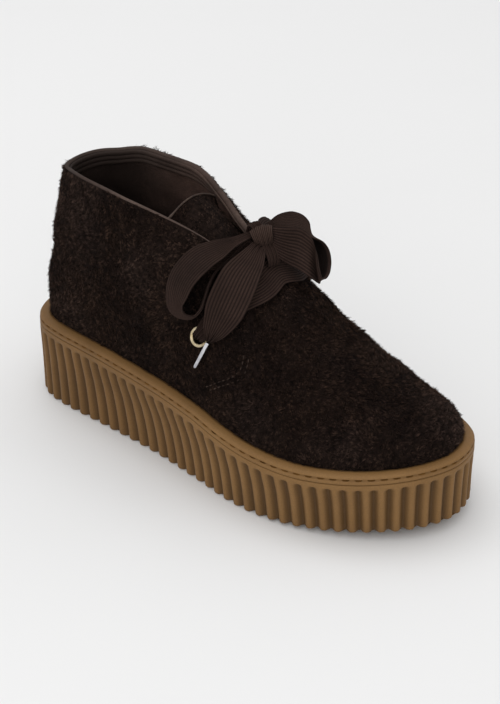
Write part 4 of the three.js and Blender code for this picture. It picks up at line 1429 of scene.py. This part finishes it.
CREASES = (
    Crease(Side.OUTER, ((0.27, 0.86), (0.31, 0.62), (0.37, 0.42)), 7, -1.1),
    Crease(Side.OUTER, ((0.33, 0.80), (0.37, 0.60), (0.43, 0.46)), 6, 0.6),
    Crease(Side.OUTER, ((0.16, 0.75), (0.20, 0.50), (0.27, 0.30)), 9, -0.9),
    Crease(Side.OUTER, ((0.04, 0.55), (0.10, 0.42), (0.18, 0.36)), 8, -0.7),
    Crease(Side.OUTER, ((0.56, 0.34), (0.60, 0.52), (0.63, 0.74)), 5, -0.8),
    Crease(Side.OUTER, ((0.62, 0.20), (0.67, 0.46), (0.68, 0.80)), 7, -0.8),
    Crease(Side.OUTER, ((0.72, 0.18), (0.74, 0.44), (0.73, 0.82)), 8, -0.5),
    Crease(Side.INNER, ((0.26, 0.84), (0.31, 0.60), (0.38, 0.40)), 7, -1.0),
    Crease(Side.INNER, ((0.15, 0.70), (0.21, 0.48), (0.28, 0.30)), 9, -0.8),
    Crease(Side.INNER, ((0.56, 0.30), (0.61, 0.52), (0.64, 0.78)), 6, -0.8),
    Crease(Side.INNER, ((0.66, 0.20), (0.69, 0.46), (0.69, 0.82)), 8, -0.6),
)


@dataclass
class Sheet:
    """The upper's skin as one merged sheet of places with their directions out."""

    places: Array
    normals: Array
    faces: Array
    around: Array
    up: Array
    side: Array
    lift: Array
    rim: Array


@dataclass
class Upper:
    """The upper: quarters over the vamp, a rolled collar, and the lining inside."""

    form: ShoeForm
    finishes: Finishes
    quarter_columns: int = 96
    vamp_columns: int = 72
    rows: int = 42
    edge_gap: float = 0.0012
    nap_count: int = 48500
    nap_count_inner: int = 36500
    nap_length: float = 1.95
    nap_width: float = 0.28

    def build(self) -> None:
        """Builds the shell, its facing and seams, and the nap over it."""
        sheet = self.sheet()
        skin = self.skin(sheet)
        self.shell(sheet, skin)
        self.facing()
        self.seams()
        self.nap(sheet, skin)

    def sheet(self) -> Sheet:
        """Lays out both sides of the upper and merges them.

        Returns:
            The sheet, without its step and creases.
        """
        n_q, n_v, n_r = self.quarter_columns, self.vamp_columns, self.rows
        up = np.concatenate([[0.0], np.linspace(0, 1, n_r + 1)])
        edge = QUARTER_EDGE.at("round", up)
        quarter = np.concatenate([np.linspace(0, 1 - 1 / n_q, n_q), [1 - 0.2 / n_q, 1 - 0.05 / n_q, 1.0]])
        vamp = np.linspace(0, 1, n_v + 1)
        around = np.concatenate([
            quarter[:, None] * edge[None, :],
            (edge + self.edge_gap)[None, :] + (1 - edge - self.edge_gap)[None, :] * vamp[:, None],
        ])
        rounding = np.concatenate([np.ones(n_q + 1), [0.96, 0.78], np.zeros(n_v + 1)])
        lift = self.form.quarter_step * rounding[:, None] * smooth_step(0.05, 0.2, up)[None, :]
        ups = np.broadcast_to(up, around.shape)
        places, rims, faces, sides = [], [], [], []
        columns, stride = around.shape
        for side in Side:
            start = len(places) * columns * stride
            place = self.form.upper_point(side, around, ups).reshape(columns, stride, 3)
            place[:, 0, 2] = self.form.sole_top(place[:, 0, 0]) - self.form.welt_height
            below = self.form.upper_point(side, around, np.maximum(ups - 0.02, 0)).reshape(columns, stride, 3)
            rim = unit(place - below)
            rim[:, 0] = (0, 0, -1)
            places.append(place)
            rims.append(rim)
            sides.append(np.full(columns * stride, side.value))
            j, i = np.meshgrid(np.arange(columns - 1), np.arange(stride - 1), indexing="ij")
            a = (start + j * stride + i).ravel()
            quad = np.stack([a, a + stride, a + stride + 1, a + 1], 1)
            faces.append(quad if side is Side.OUTER else quad[:, ::-1])
        flat = np.concatenate([p.reshape(-1, 3) for p in places])
        _, first, merged = np.unique(np.round(flat, 3), axis=0, return_index=True, return_inverse=True)
        merged = merged.ravel()
        quads = merged[np.concatenate(faces)]
        kept = [len(set(q)) > 2 for q in quads.tolist()]
        quads = quads[kept]
        spots = flat[first]
        return Sheet(
            places=spots,
            normals=self.normals_of(spots, quads),
            faces=quads,
            around=np.tile(around.ravel(), len(Side))[first],
            up=np.tile(ups.ravel(), len(Side))[first],
            side=np.concatenate(sides)[first],
            lift=np.tile(lift.ravel(), len(Side))[first],
            rim=np.concatenate([r.reshape(-1, 3) for r in rims])[first],
        )

    @staticmethod
    def normals_of(places: Array, quads: Array) -> Array:
        """The directions out at each place of a sheet."""
        a, b, c, d = (places[quads[:, k]] for k in range(4))
        face = np.cross(c - a, d - b)
        normals = np.zeros_like(places)
        for k in range(4):
            np.add.at(normals, quads[:, k], face)
        return unit(normals)

    def skin(self, sheet: Sheet) -> Array:
        """The outside's places, with the quarters' step and the creases.

        Args:
            sheet: The bare sheet.

        Returns:
            The places, in millimetres.
        """
        push = sheet.lift.copy()
        for crease in CREASES:
            push += self.pushed(sheet, crease)
        x, y, z = (sheet.places / 17).T
        ripple = 0.16 * np.sin(2.3 * x + 1.7 * z) * np.sin(1.9 * y - 1.1 * x)
        ripple = ripple + 0.12 * np.sin(4.1 * z - 2.7 * x + y)
        collar = smooth_step(0.93, 1.0, sheet.up) * (sheet.around < 0.56)
        fade = smooth_step(0.02, 0.15, sheet.up) * (1 - collar)
        return sheet.places + sheet.normals * (push + ripple * fade)[:, None]

    def pushed(self, sheet: Sheet, crease: Crease) -> Array:
        """How far a crease pushes each place of the sheet out.

        Args:
            sheet: The sheet.
            crease: The crease.

        Returns:
            The distances, in millimetres.
        """
        around, up = np.array(crease.course).T
        knots = self.form.upper_point(crease.side, around, up)
        t = np.linspace(0, 1, 25)
        course = spline(knots, t)
        gaps = np.linalg.norm(sheet.places[:, None] - course[None], axis=2)
        near = gaps.argmin(1)
        off = gaps.min(1) / crease.width
        ends = np.sin(math.pi * np.clip(t[near], 0.04, 0.96)) ** 0.7
        return crease.depth * (1.25 * np.exp(-off * off) - 0.35 * np.exp(-((off - 1.5) ** 2) * 2)) * ends

    def shell(self, sheet: Sheet, skin: Array) -> None:
        """Builds the closed shell and cuts the eyelet holes.

        Args:
            sheet: The bare sheet.
            skin: The outside's places.
        """
        count = len(sheet.places)
        x, y, z = (sheet.places / 13).T
        wrinkle = 0.25 * np.sin(2.1 * x + 3.3 * z + 0.8 * np.sin(2 * y)) * smooth_step(0.3, 0.6, sheet.up)
        inside = sheet.places - sheet.normals * (self.form.wall + np.maximum(wrinkle, -0.2))[:, None]
        body = Body()
        body.places = [self.form.to_frame(np.concatenate([skin, inside]))]
        body.count = 2 * count
        # Painted shade on the lining, darker toward the heel and toward the bottom.
        shaded = np.maximum(1 - smooth_step(0.14, 0.42, sheet.around), 1 - smooth_step(0.5, 0.88, sheet.up))
        body.painted_shades_and_tones = [shaded, shaded]
        edges: dict[tuple[int, int], None] = {}
        for quad in sheet.faces.tolist():
            corners = list(dict.fromkeys(quad))
            body.add_face(corners, 0)
            body.add_face([c + count for c in corners[::-1]], 1)
            for k, a in enumerate(corners):
                edges[(a, corners[(k + 1) % len(corners)])] = None
        rim = [(a, b) for a, b in edges if (b, a) not in edges]
        self.close_rim(body, sheet, skin, inside, rim)
        piece = body.build("suede_upper", [self.finishes.nap, self.finishes.lining, self.finishes.edge])
        self.cut_holes(piece)
        finish_piece(piece, Slot.SUEDE, "upper")

    def close_rim(
        self, body: Body, sheet: Sheet, skin: Array, inside: Array, rim: Sequence[tuple[int, int]]
    ) -> None:
        """Closes the shell's edges with a rounded fold.

        Args:
            body: The shell.
            sheet: The bare sheet.
            skin: The outside's places.
            inside: The lining's places.
            rim: The open edges, each from one place to the next.
        """
        count = len(sheet.places)
        spots = sorted({a for edge in rim for a in edge})
        shares = (0.2, 0.5, 0.8)
        rounded = 0.9
        number = {a: k for k, a in enumerate(spots)}
        spot = np.array(spots)
        for share in shares:
            bulge = rounded * math.sin(math.pi * share)
            mid = skin[spot] * (1 - share) + inside[spot] * share + sheet.rim[spot] * bulge
            body.places.append(self.form.to_frame(mid))
            # The rolled rim takes the edge's dark colour: 0.3 all round, and painted shade that grows toward
            # the heel.
            body.painted_shades_and_tones.append(0.3 + 0.45 * (1 - smooth_step(0.12, 0.36, sheet.around[spot])))
        first = body.count
        body.count += len(shares) * len(spots)
        for a, b in rim:
            rows_a = [a, *[first + k * len(spots) + number[a] for k in range(len(shares))], a + count]
            rows_b = [b, *[first + k * len(spots) + number[b] for k in range(len(shares))], b + count]
            for k in range(len(rows_a) - 1):
                body.add_face([rows_a[k], rows_a[k + 1], rows_b[k + 1], rows_b[k]], 2)

    def cut_holes(self, piece: Piece) -> None:
        """Cuts the four eyelet holes through the shell.

        Args:
            piece: The shell.
        """
        body = Body()
        radius = EYELET_BORE / 2 + EYELET_WALL + self.form.clearance
        for side in Side:
            for around, up in EYELETS.values():
                place, out, across, other = seat(self.form, side, around, up)
                ring = circle(across, other, 24) * radius
                body.add_tube(self.form.to_frame(np.stack([place + ring + out * z for z in (-9.0, 6.0)])))
        drill = body.build("hole_drill", [self.finishes.edge])
        cut = piece.modifiers.new("holes", "BOOLEAN")
        cut.operation, cut.solver, cut.object = "DIFFERENCE", "EXACT", drill
        graph = bpy.context.evaluated_depsgraph_get()
        shaped = bpy.data.meshes.new_from_object(piece.evaluated_get(graph))
        piece.modifiers.clear()
        piece.data = shaped
        bpy.data.objects.remove(drill)

    def facing(self) -> None:
        """Builds the facing inside the collar: a folded band with two raised lines along it."""
        columns, rows = 150, 25
        across = np.linspace(0, 1, rows)
        fold = 0.3 + 0.75 * np.abs(np.sin(3 * math.pi * across)) ** 0.6
        halves = []
        for side in Side:
            around = np.linspace(0, 0.53, columns)
            down = np.interp(around, (0, 0.2, 0.45, 0.53), (0.12, 0.10, 0.12, 0.16))
            a, b = np.meshgrid(around, across, indexing="ij")
            up = 1 - b * down[:, None]
            place = self.form.upper_point(side, a, up)
            out = self.form.upper_normal(side, a, np.minimum(up, 0.99))
            halves.append((place.reshape(columns, rows, 3), out.reshape(columns, rows, 3), side))
        # Painted shade on the facing, darker toward the heel.
        shaded = 1 - smooth_step(0.12, 0.4, np.linspace(0, 0.53, columns))
        for place, out, side in halves:
            front = place - out * (self.form.wall + 0.1 + fold)[None, :, None]
            back = place - out * (self.form.wall + 0.1)
            grid = np.concatenate([front, back[:, ::-1]], axis=1)
            body = Body()
            body.add_tube(self.form.to_frame(grid), flip=side is Side.OUTER)
            body.painted_shades_and_tones.append(np.repeat(shaded, grid.shape[1]))
            name = f"collar_facing_{side.name.lower()}"
            finish_piece(body.build(name, [self.finishes.edge]), Slot.LINING)

    def seams(self) -> None:
        """Sews the double row of stitches behind the quarters' front edges."""
        body = Body()
        for side in Side:
            for back in (0.012, 0.021):
                up = np.linspace(0.16, 0.5, 200)
                around = QUARTER_EDGE.at("round", up) - back
                out = self.form.upper_normal(side, around, up)
                lift = self.form.quarter_step * smooth_step(0.05, 0.2, up)
                course = self.form.upper_point(side, around, up) + out * (lift + 0.35)[:, None]
                self.sew(body, course, out, pitch=3.0, length=2.1, radius=0.3)
        finish_piece(body.build("quarter_stitches", [self.finishes.seam_thread]), Slot.SUEDE)

    def sew(self, body: Body, course: Array, out: Array, pitch: float, length: float, radius: float) -> None:
        """Lays stitches along a course.

        Args:
            body: The body that they join.
            course: Places along the seam.
            out: The surface's directions out.
            pitch: The distance from stitch to stitch.
            length: The length of one.
            radius: The thread's radius.
        """
        lengths = np.concatenate([[0], np.cumsum(np.linalg.norm(np.diff(course, axis=0), axis=1))])
        for start in np.arange(0, lengths[-1] - length, pitch):
            at = np.linspace(start, start + length, 4)
            spots = np.stack([np.interp(at, lengths, course[:, k]) for k in range(3)], 1)
            outs = np.stack([np.interp(at, lengths, out[:, k]) for k in range(3)], 1)
            thread(body, self.form, spots, outs, radius)

    def nap(self, sheet: Sheet, skin: Array) -> None:
        """Covers the quarters and the vamp with nap.

        Args:
            sheet: The bare sheet.
            skin: The outside's places.
        """
        middle_around = sheet.around[sheet.faces].mean(1)
        middle_up = sheet.up[sheet.faces].mean(1)
        middle_side = sheet.side[sheet.faces].mean(1)
        vamp = middle_around > QUARTER_EDGE.at("round", middle_up)
        past_edge = middle_around - QUARTER_EDGE.at("round", middle_up)
        # A strip in front of the quarter's edge is left bare so that the dark skin stands for the edge's
        # shadow: painted shadow.
        in_shadow = (past_edge > -0.002) & (past_edge < 0.008) & (middle_up > 0.42)
        shown = (middle_up > 0.01) & ~in_shadow
        parts = {
            "nap_quarter_outer": ~vamp & shown & (middle_side < 0),
            "nap_quarter_inner": ~vamp & shown & (middle_side >= 0),
            "nap_vamp": vamp & shown,
        }
        normals = self.normals_of(skin, sheet.faces)
        for number, (name, wanted) in enumerate(parts.items()):
            count = self.nap_count_inner if name == "nap_quarter_inner" else self.nap_count
            hairs = Nap(self.form, count, self.nap_length, self.nap_width, seed=11 + number)
            hairs.grow(name, skin, normals, sheet.faces[wanted], self.finishes.hair)


@dataclass
class Nap:
    """Short hairs combed over a sheet, each a tapered spike."""

    form: ShoeForm
    count: int
    length: float
    width: float
    seed: int
    per_tuft: int = 9
    per_lock: int = 22
    root_depth: float = 0.15
    eyelet_gap: float = 5.3

    def grow(self, name: str, places: Array, normals: Array, quads: Array, finish: Material) -> None:
        """Grows the hairs.

        Args:
            name: The piece's name.
            places: The sheet's places, in millimetres.
            normals: Its directions out.
            quads: The faces that carry nap.
            finish: The hairs' material.
        """
        draw = np.random.default_rng(self.seed)
        a, b, c, d = (places[quads[:, k]] for k in range(4))
        area = np.linalg.norm(np.cross(c - a, d - b), axis=1) / 2
        chosen = draw.choice(len(quads), self.count, p=area / area.sum())
        s, t = draw.random((2, self.count, 1))
        weights = ((1 - s) * (1 - t), s * (1 - t), s * t, (1 - s) * t)
        root = sum(w * places[quads[chosen, k]] for k, w in enumerate(weights))
        out = unit(sum(w * normals[quads[chosen, k]] for k, w in enumerate(weights)))
        keep = self.clear_of_eyelets(root)
        root, out = root[keep], out[keep]
        tip_way, spread = self.comb(root, out, draw)
        count = len(root)
        size = self.length * np.clip(draw.lognormal(0, 0.35, (count, 1)), 0.45, 1.9)
        around = unit(np.cross(tip_way, spread))
        other = np.cross(tip_way, around)
        tip = self.tufted(root, root + tip_way * size, draw)
        corners = []
        for angle in (0.0, math.tau / 3, 2 * math.tau / 3):
            ring = around * math.cos(angle) + other * math.sin(angle)
            corners.append(root - out * self.root_depth + ring * self.width / 2)
        corners.append(tip)
        spots = np.stack(corners, 1).reshape(-1, 3)
        first = 4 * np.arange(count)[:, None, None]
        faces = (first + np.array([[0, 1, 3], [1, 2, 3], [2, 0, 3], [2, 1, 0]])[None]).reshape(-1, 3)
        body = Body()
        body.places = [self.form.to_frame(spots)]
        # Painted shade at the roots, deep in the nap; each tip takes its lock's random tone.
        shade = np.ones((count, 4))
        shade[:, 3] = self.shades(root, draw)
        body.painted_shades_and_tones = [shade.ravel()]
        body.faces = faces.tolist()
        body.finishes = [0] * len(faces)
        finish_piece(body.build(name, [finish]), Slot.SUEDE)

    @staticmethod
    def led(root: Array, each: int, draw: np.random.Generator) -> tuple[Array, Array]:
        """Chooses one hair in so many to lead, and finds each hair's nearest leader.

        Args:
            root: The hairs' roots.
            each: The number of hairs to one leader.
            draw: The random numbers.

        Returns:
            The leaders, and for each hair the number of its own.
        """
        leaders = draw.choice(len(root), len(root) // each, replace=False)
        tree = KDTree(len(leaders))
        for k, leader in enumerate(leaders):
            tree.insert(root[leader], k)
        tree.balance()
        return leaders, np.array([tree.find(spot)[1] for spot in root])

    def tufted(self, root: Array, tip: Array, draw: np.random.Generator) -> Array:
        """Draws the hairs' tips together into tufts.

        Args:
            root: The hairs' roots.
            tip: Their tips.
            draw: The random numbers.

        Returns:
            The new tips.
        """
        leaders, nearest = self.led(root, self.per_tuft, draw)
        pull = draw.uniform(0.3, 0.85, (len(root), 1))
        return tip * (1 - pull) + tip[leaders[nearest]] * pull

    def shades(self, root: Array, draw: np.random.Generator) -> Array:
        """How dark each hair's tip is: each small lock has a shade of its own.

        Args:
            root: The hairs' roots.
            draw: The random numbers.

        Returns:
            The tips' shades, from 0 for light to 1 for dark.
        """
        locks, nearest = self.led(root, self.per_lock, draw)
        tone = draw.beta(1.1, 1.5, len(locks))
        return np.clip(tone[nearest] * 0.8 + draw.normal(0, 0.12, len(root)), 0, 1)

    def clear_of_eyelets(self, root: Array) -> Array:
        """Which hairs grow outside the eyelets' rings."""
        keep = np.ones(len(root), bool)
        for side in Side:
            for around, up in EYELETS.values():
                place = seat(self.form, side, around, up)[0]
                keep &= np.linalg.norm(root - place, axis=1) > self.eyelet_gap
        return keep

    @staticmethod
    def comb(root: Array, out: Array, draw: np.random.Generator) -> tuple[Array, Array]:
        """The way each hair points.

        Args:
            root: The hairs' roots, in millimetres.
            out: The directions out of the sheet.
            draw: The random numbers.

        Returns:
            The directions of the hairs, and another direction in the sheet.
        """
        x, y, z = (root / 9).T
        swirl = 1.3 * np.sin(0.9 * x + 0.6 * np.sin(1.3 * z)) + 1.1 * np.sin(1.1 * z - 0.7 * y + 1.9)
        swirl = swirl + 0.7 * np.sin(2.3 * (x + z)) + draw.normal(0, 0.75, len(root))
        down = np.broadcast_to(np.array([0.35, 0.0, -1.0]), root.shape)
        along = unit(down - out * np.sum(down * out, axis=1, keepdims=True) + 1e-6)
        aside = np.cross(out, along)
        way = along * np.cos(swirl)[:, None] + aside * np.sin(swirl)[:, None]
        lean = np.clip(draw.normal(1.0, 0.22, (len(root), 1)), 0.25, 1.4)
        return unit(out * np.cos(lean) + way * np.sin(lean)), aside


def seat(form: ShoeForm, side: Side, around: float, up: float) -> tuple[Array, Array, Array, Array]:
    """The place of an eyelet on the quarter.

    Args:
        form: The shoe's form.
        side: The side of the foot.
        around: The eyelet's share from heel to toe.
        up: Its share from the welt up.

    Returns:
        The place in millimetres, the direction out, and two directions across it.
    """
    out = form.upper_normal(side, around, up)[0]
    place = form.upper_point(side, around, up)[0] + out * form.quarter_step
    across = unit(np.cross(out, (0.0, 0.0, 1.0)))
    return place, out, across, np.cross(out, across)


@dataclass
class Eyelets:
    """The four rolled metal eyelets."""

    form: ShoeForm
    finishes: Finishes
    flange: float = 1.25
    proud: float = 1.0

    def build(self) -> None:
        """Builds the four rings."""
        inner = EYELET_BORE / 2
        barrel = inner + EYELET_WALL
        rim = barrel + self.flange
        low = 2 * self.form.clearance
        depth = self.form.wall + self.form.quarter_step
        crown = [
            (rim - self.flange * 0.5 * (1 - math.cos(a)), low + self.proud * math.sin(a))
            for a in np.linspace(0, 2.3, 9)
        ]
        roll = [(inner + 0.5, low + 0.78 * self.proud), (inner + 0.12, low + 0.45 * self.proud), (inner, low)]
        back = [(inner, -depth), (barrel, -depth), (barrel, low - 0.1), (rim - 0.2, low - 0.15)]
        profile = [*back, *crown, *roll, (inner, -depth)]
        for side in Side:
            for name, (around, up) in EYELETS.items():
                place, out, across, other = seat(self.form, side, around, up)
                ring = circle(across, other, 48)
                grid = np.stack([place + ring * r + out * h for r, h in profile])
                body = Body()
                body.add_grid(self.form.to_frame(grid), around=True)
                label = f"{name}_{side.name.lower()}"
                piece = body.build(f"ring_{label}", [self.finishes.eyelet])
                finish_piece(piece, Slot.EYELET_METAL, f"eyelet_{label}")


@dataclass
class Tongue:
    """The tongue under the lace, with nap on its top and a folded back edge."""

    form: ShoeForm
    finishes: Finishes
    width: float = 54
    thickness: float = 2.4
    front: float = 0.64
    back: float = 0.365
    rows: int = 64
    across: int = 34
    nap_count: int = 8200

    def build(self) -> None:
        """Builds the tongue, its piping and its nap."""
        back = np.linspace(0, self.front - self.back, self.rows + 1)
        x = (self.front - back) * self.form.sole_length
        middle = SPINE.at("across", x / self.form.sole_length) * self.form.ball_width
        crest = TONGUE.at("crest", back) * self.form.collar_height
        half = TONGUE.at("spread", back) * self.width / 2
        droop = TONGUE.at("droop", back) * self.form.collar_height
        c = np.linspace(-1, 1, self.across + 1)
        grid = np.stack([
            np.broadcast_to(x[:, None], (len(x), len(c))),
            middle[:, None] + c[None, :] * half[:, None],
            crest[:, None] - droop[:, None] * c[None, :] ** 2,
        ], -1)
        out = unit(np.cross(np.gradient(grid, axis=1), np.gradient(grid, axis=0)))
        out = out * np.sign(out[..., 2:3])
        soft = 0.25 * np.sin(x / 3.1)[:, None] * np.cos(c * 2.2)[None, :]
        top = grid + out * soft[..., None]
        bottom = grid - out * self.thickness
        loop = np.concatenate([top, bottom[:, ::-1]], axis=1)
        body = Body()
        body.add_grid(self.form.to_frame(loop), around=True, flip=True)
        size = loop.shape[1]
        body.add_across(0, size)
        body.add_across(self.rows * size, size, flip=True, finish=1)
        finish_piece(body.build("tongue_leaf", [self.finishes.nap, self.finishes.edge]), Slot.SUEDE, "tongue")
        self.piping(top[-1, 1:-1], out[-1, 1:-1])
        flat = np.arange(len(x) * len(c)).reshape(len(x), len(c))
        quads = np.stack([flat[:-1, :-1], flat[:-1, 1:], flat[1:, 1:], flat[1:, :-1]], -1).reshape(-1, 4)
        hairs = Nap(self.form, self.nap_count, length=1.3, width=0.24, seed=31)
        hairs.grow("nap_tongue", top.reshape(-1, 3), out.reshape(-1, 3), quads, self.finishes.hair)

    def piping(self, edge: Array, out: Array) -> None:
        """Lays a raised piping along the tongue's back edge.

        Args:
            edge: Places along the edge.
            out: The tongue's directions out at those places.
        """
        sides, radius, proud = 8, 0.5, 0.35
        course = edge + out * proud
        run = unit(np.gradient(course, axis=0))
        aside = unit(np.cross(run, out))
        ring = circle(aside, np.cross(aside, run), sides)
        body = Body()
        body.add_tube(self.form.to_frame(course[:, None] + ring * radius))
        finish_piece(body.build("tongue_piping", [self.finishes.seam_thread]), Slot.SUEDE)


# The studio.


@dataclass
class Studio:
    """The pale floor, the soft lights and the camera."""

    finishes: Finishes
    camera_place: tuple[float, float, float] = (0.69763, -0.78759, 0.67553)
    target: tuple[float, float, float] = (0.004, -0.002, 0.058)
    lens: float = 119.0
    world: float = 0.75

    def camera(self) -> None:
        """Places the camera at the photograph's viewing angle, on the one shoe."""
        data = bpy.data.cameras.new("photo_camera")
        data.lens = self.lens
        data.sensor_width = 36
        data.clip_start, data.clip_end = 0.05, 50
        camera = bpy.data.objects.new("photo_camera", data)
        bpy.context.scene.collection.objects.link(camera)
        camera.location = self.camera_place
        way = Vector(self.target) - Vector(self.camera_place)
        camera.rotation_euler = way.to_track_quat("-Z", "Y").to_euler()
        bpy.context.scene.camera = camera

    def floor(self) -> None:
        """Lays the floor."""
        mesh = bpy.data.meshes.new("floor")
        reach = 6.0
        corners = [(-reach, -reach, 0), (reach, -reach, 0), (reach, reach, 0), (-reach, reach, 0)]
        mesh.from_pydata(corners, [], [(0, 1, 2, 3)])
        mesh.materials.append(self.finishes.floor)
        floor = bpy.data.objects.new("floor", mesh)
        bpy.context.scene.collection.objects.link(floor)

    def lights(self) -> None:
        """Hangs a broad light over the shoe, a softer one beside it, and fills in from the sky."""
        sky = bpy.data.worlds.new("sky")
        sky.use_nodes = True
        sky.node_tree.nodes["Background"].inputs["Color"].default_value = (1.0, 1.0, 1.0, 1.0)
        sky.node_tree.nodes["Background"].inputs["Strength"].default_value = self.world
        bpy.context.scene.world = sky
        self.area("top_light", (-0.35, 0.0, 1.6), (0, 0, 0.05), size=1.6, power=9.0)
        self.area("side_light", (0.9, -1.3, 0.9), (0, 0, 0.05), size=1.2, power=6.0)
        scene = bpy.context.scene
        scene.view_settings.view_transform = "Standard"

    @staticmethod
    def area(name: str, place: Sequence[float], target: Sequence[float], size: float, power: float) -> None:
        """Hangs one area light.

        Args:
            name: Its name.
            place: Where it hangs.
            target: Where it points.
            size: The length of its side.
            power: Its power in watts.
        """
        data = bpy.data.lights.new(name, "AREA")
        data.size = size
        data.energy = power
        light = bpy.data.objects.new(name, data)
        bpy.context.scene.collection.objects.link(light)
        light.location = place
        light.rotation_euler = (Vector(target) - Vector(place)).to_track_quat("-Z", "Y").to_euler()


def main() -> None:
    """Loads the frame and builds the shoe round it, with the camera, floor and lights."""
    logging.basicConfig(level=logging.INFO, format="%(message)s")
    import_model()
    finishes = Finishes()
    form = ShoeForm()
    studio = Studio(finishes)
    studio.camera()
    Lace(form, finishes).build()
    Sole(form, finishes).build()
    Upper(form, finishes).build()
    Tongue(form, finishes).build()
    Eyelets(form, finishes).build()
    studio.floor()
    studio.lights()


if __name__ == "__main__":
    main()
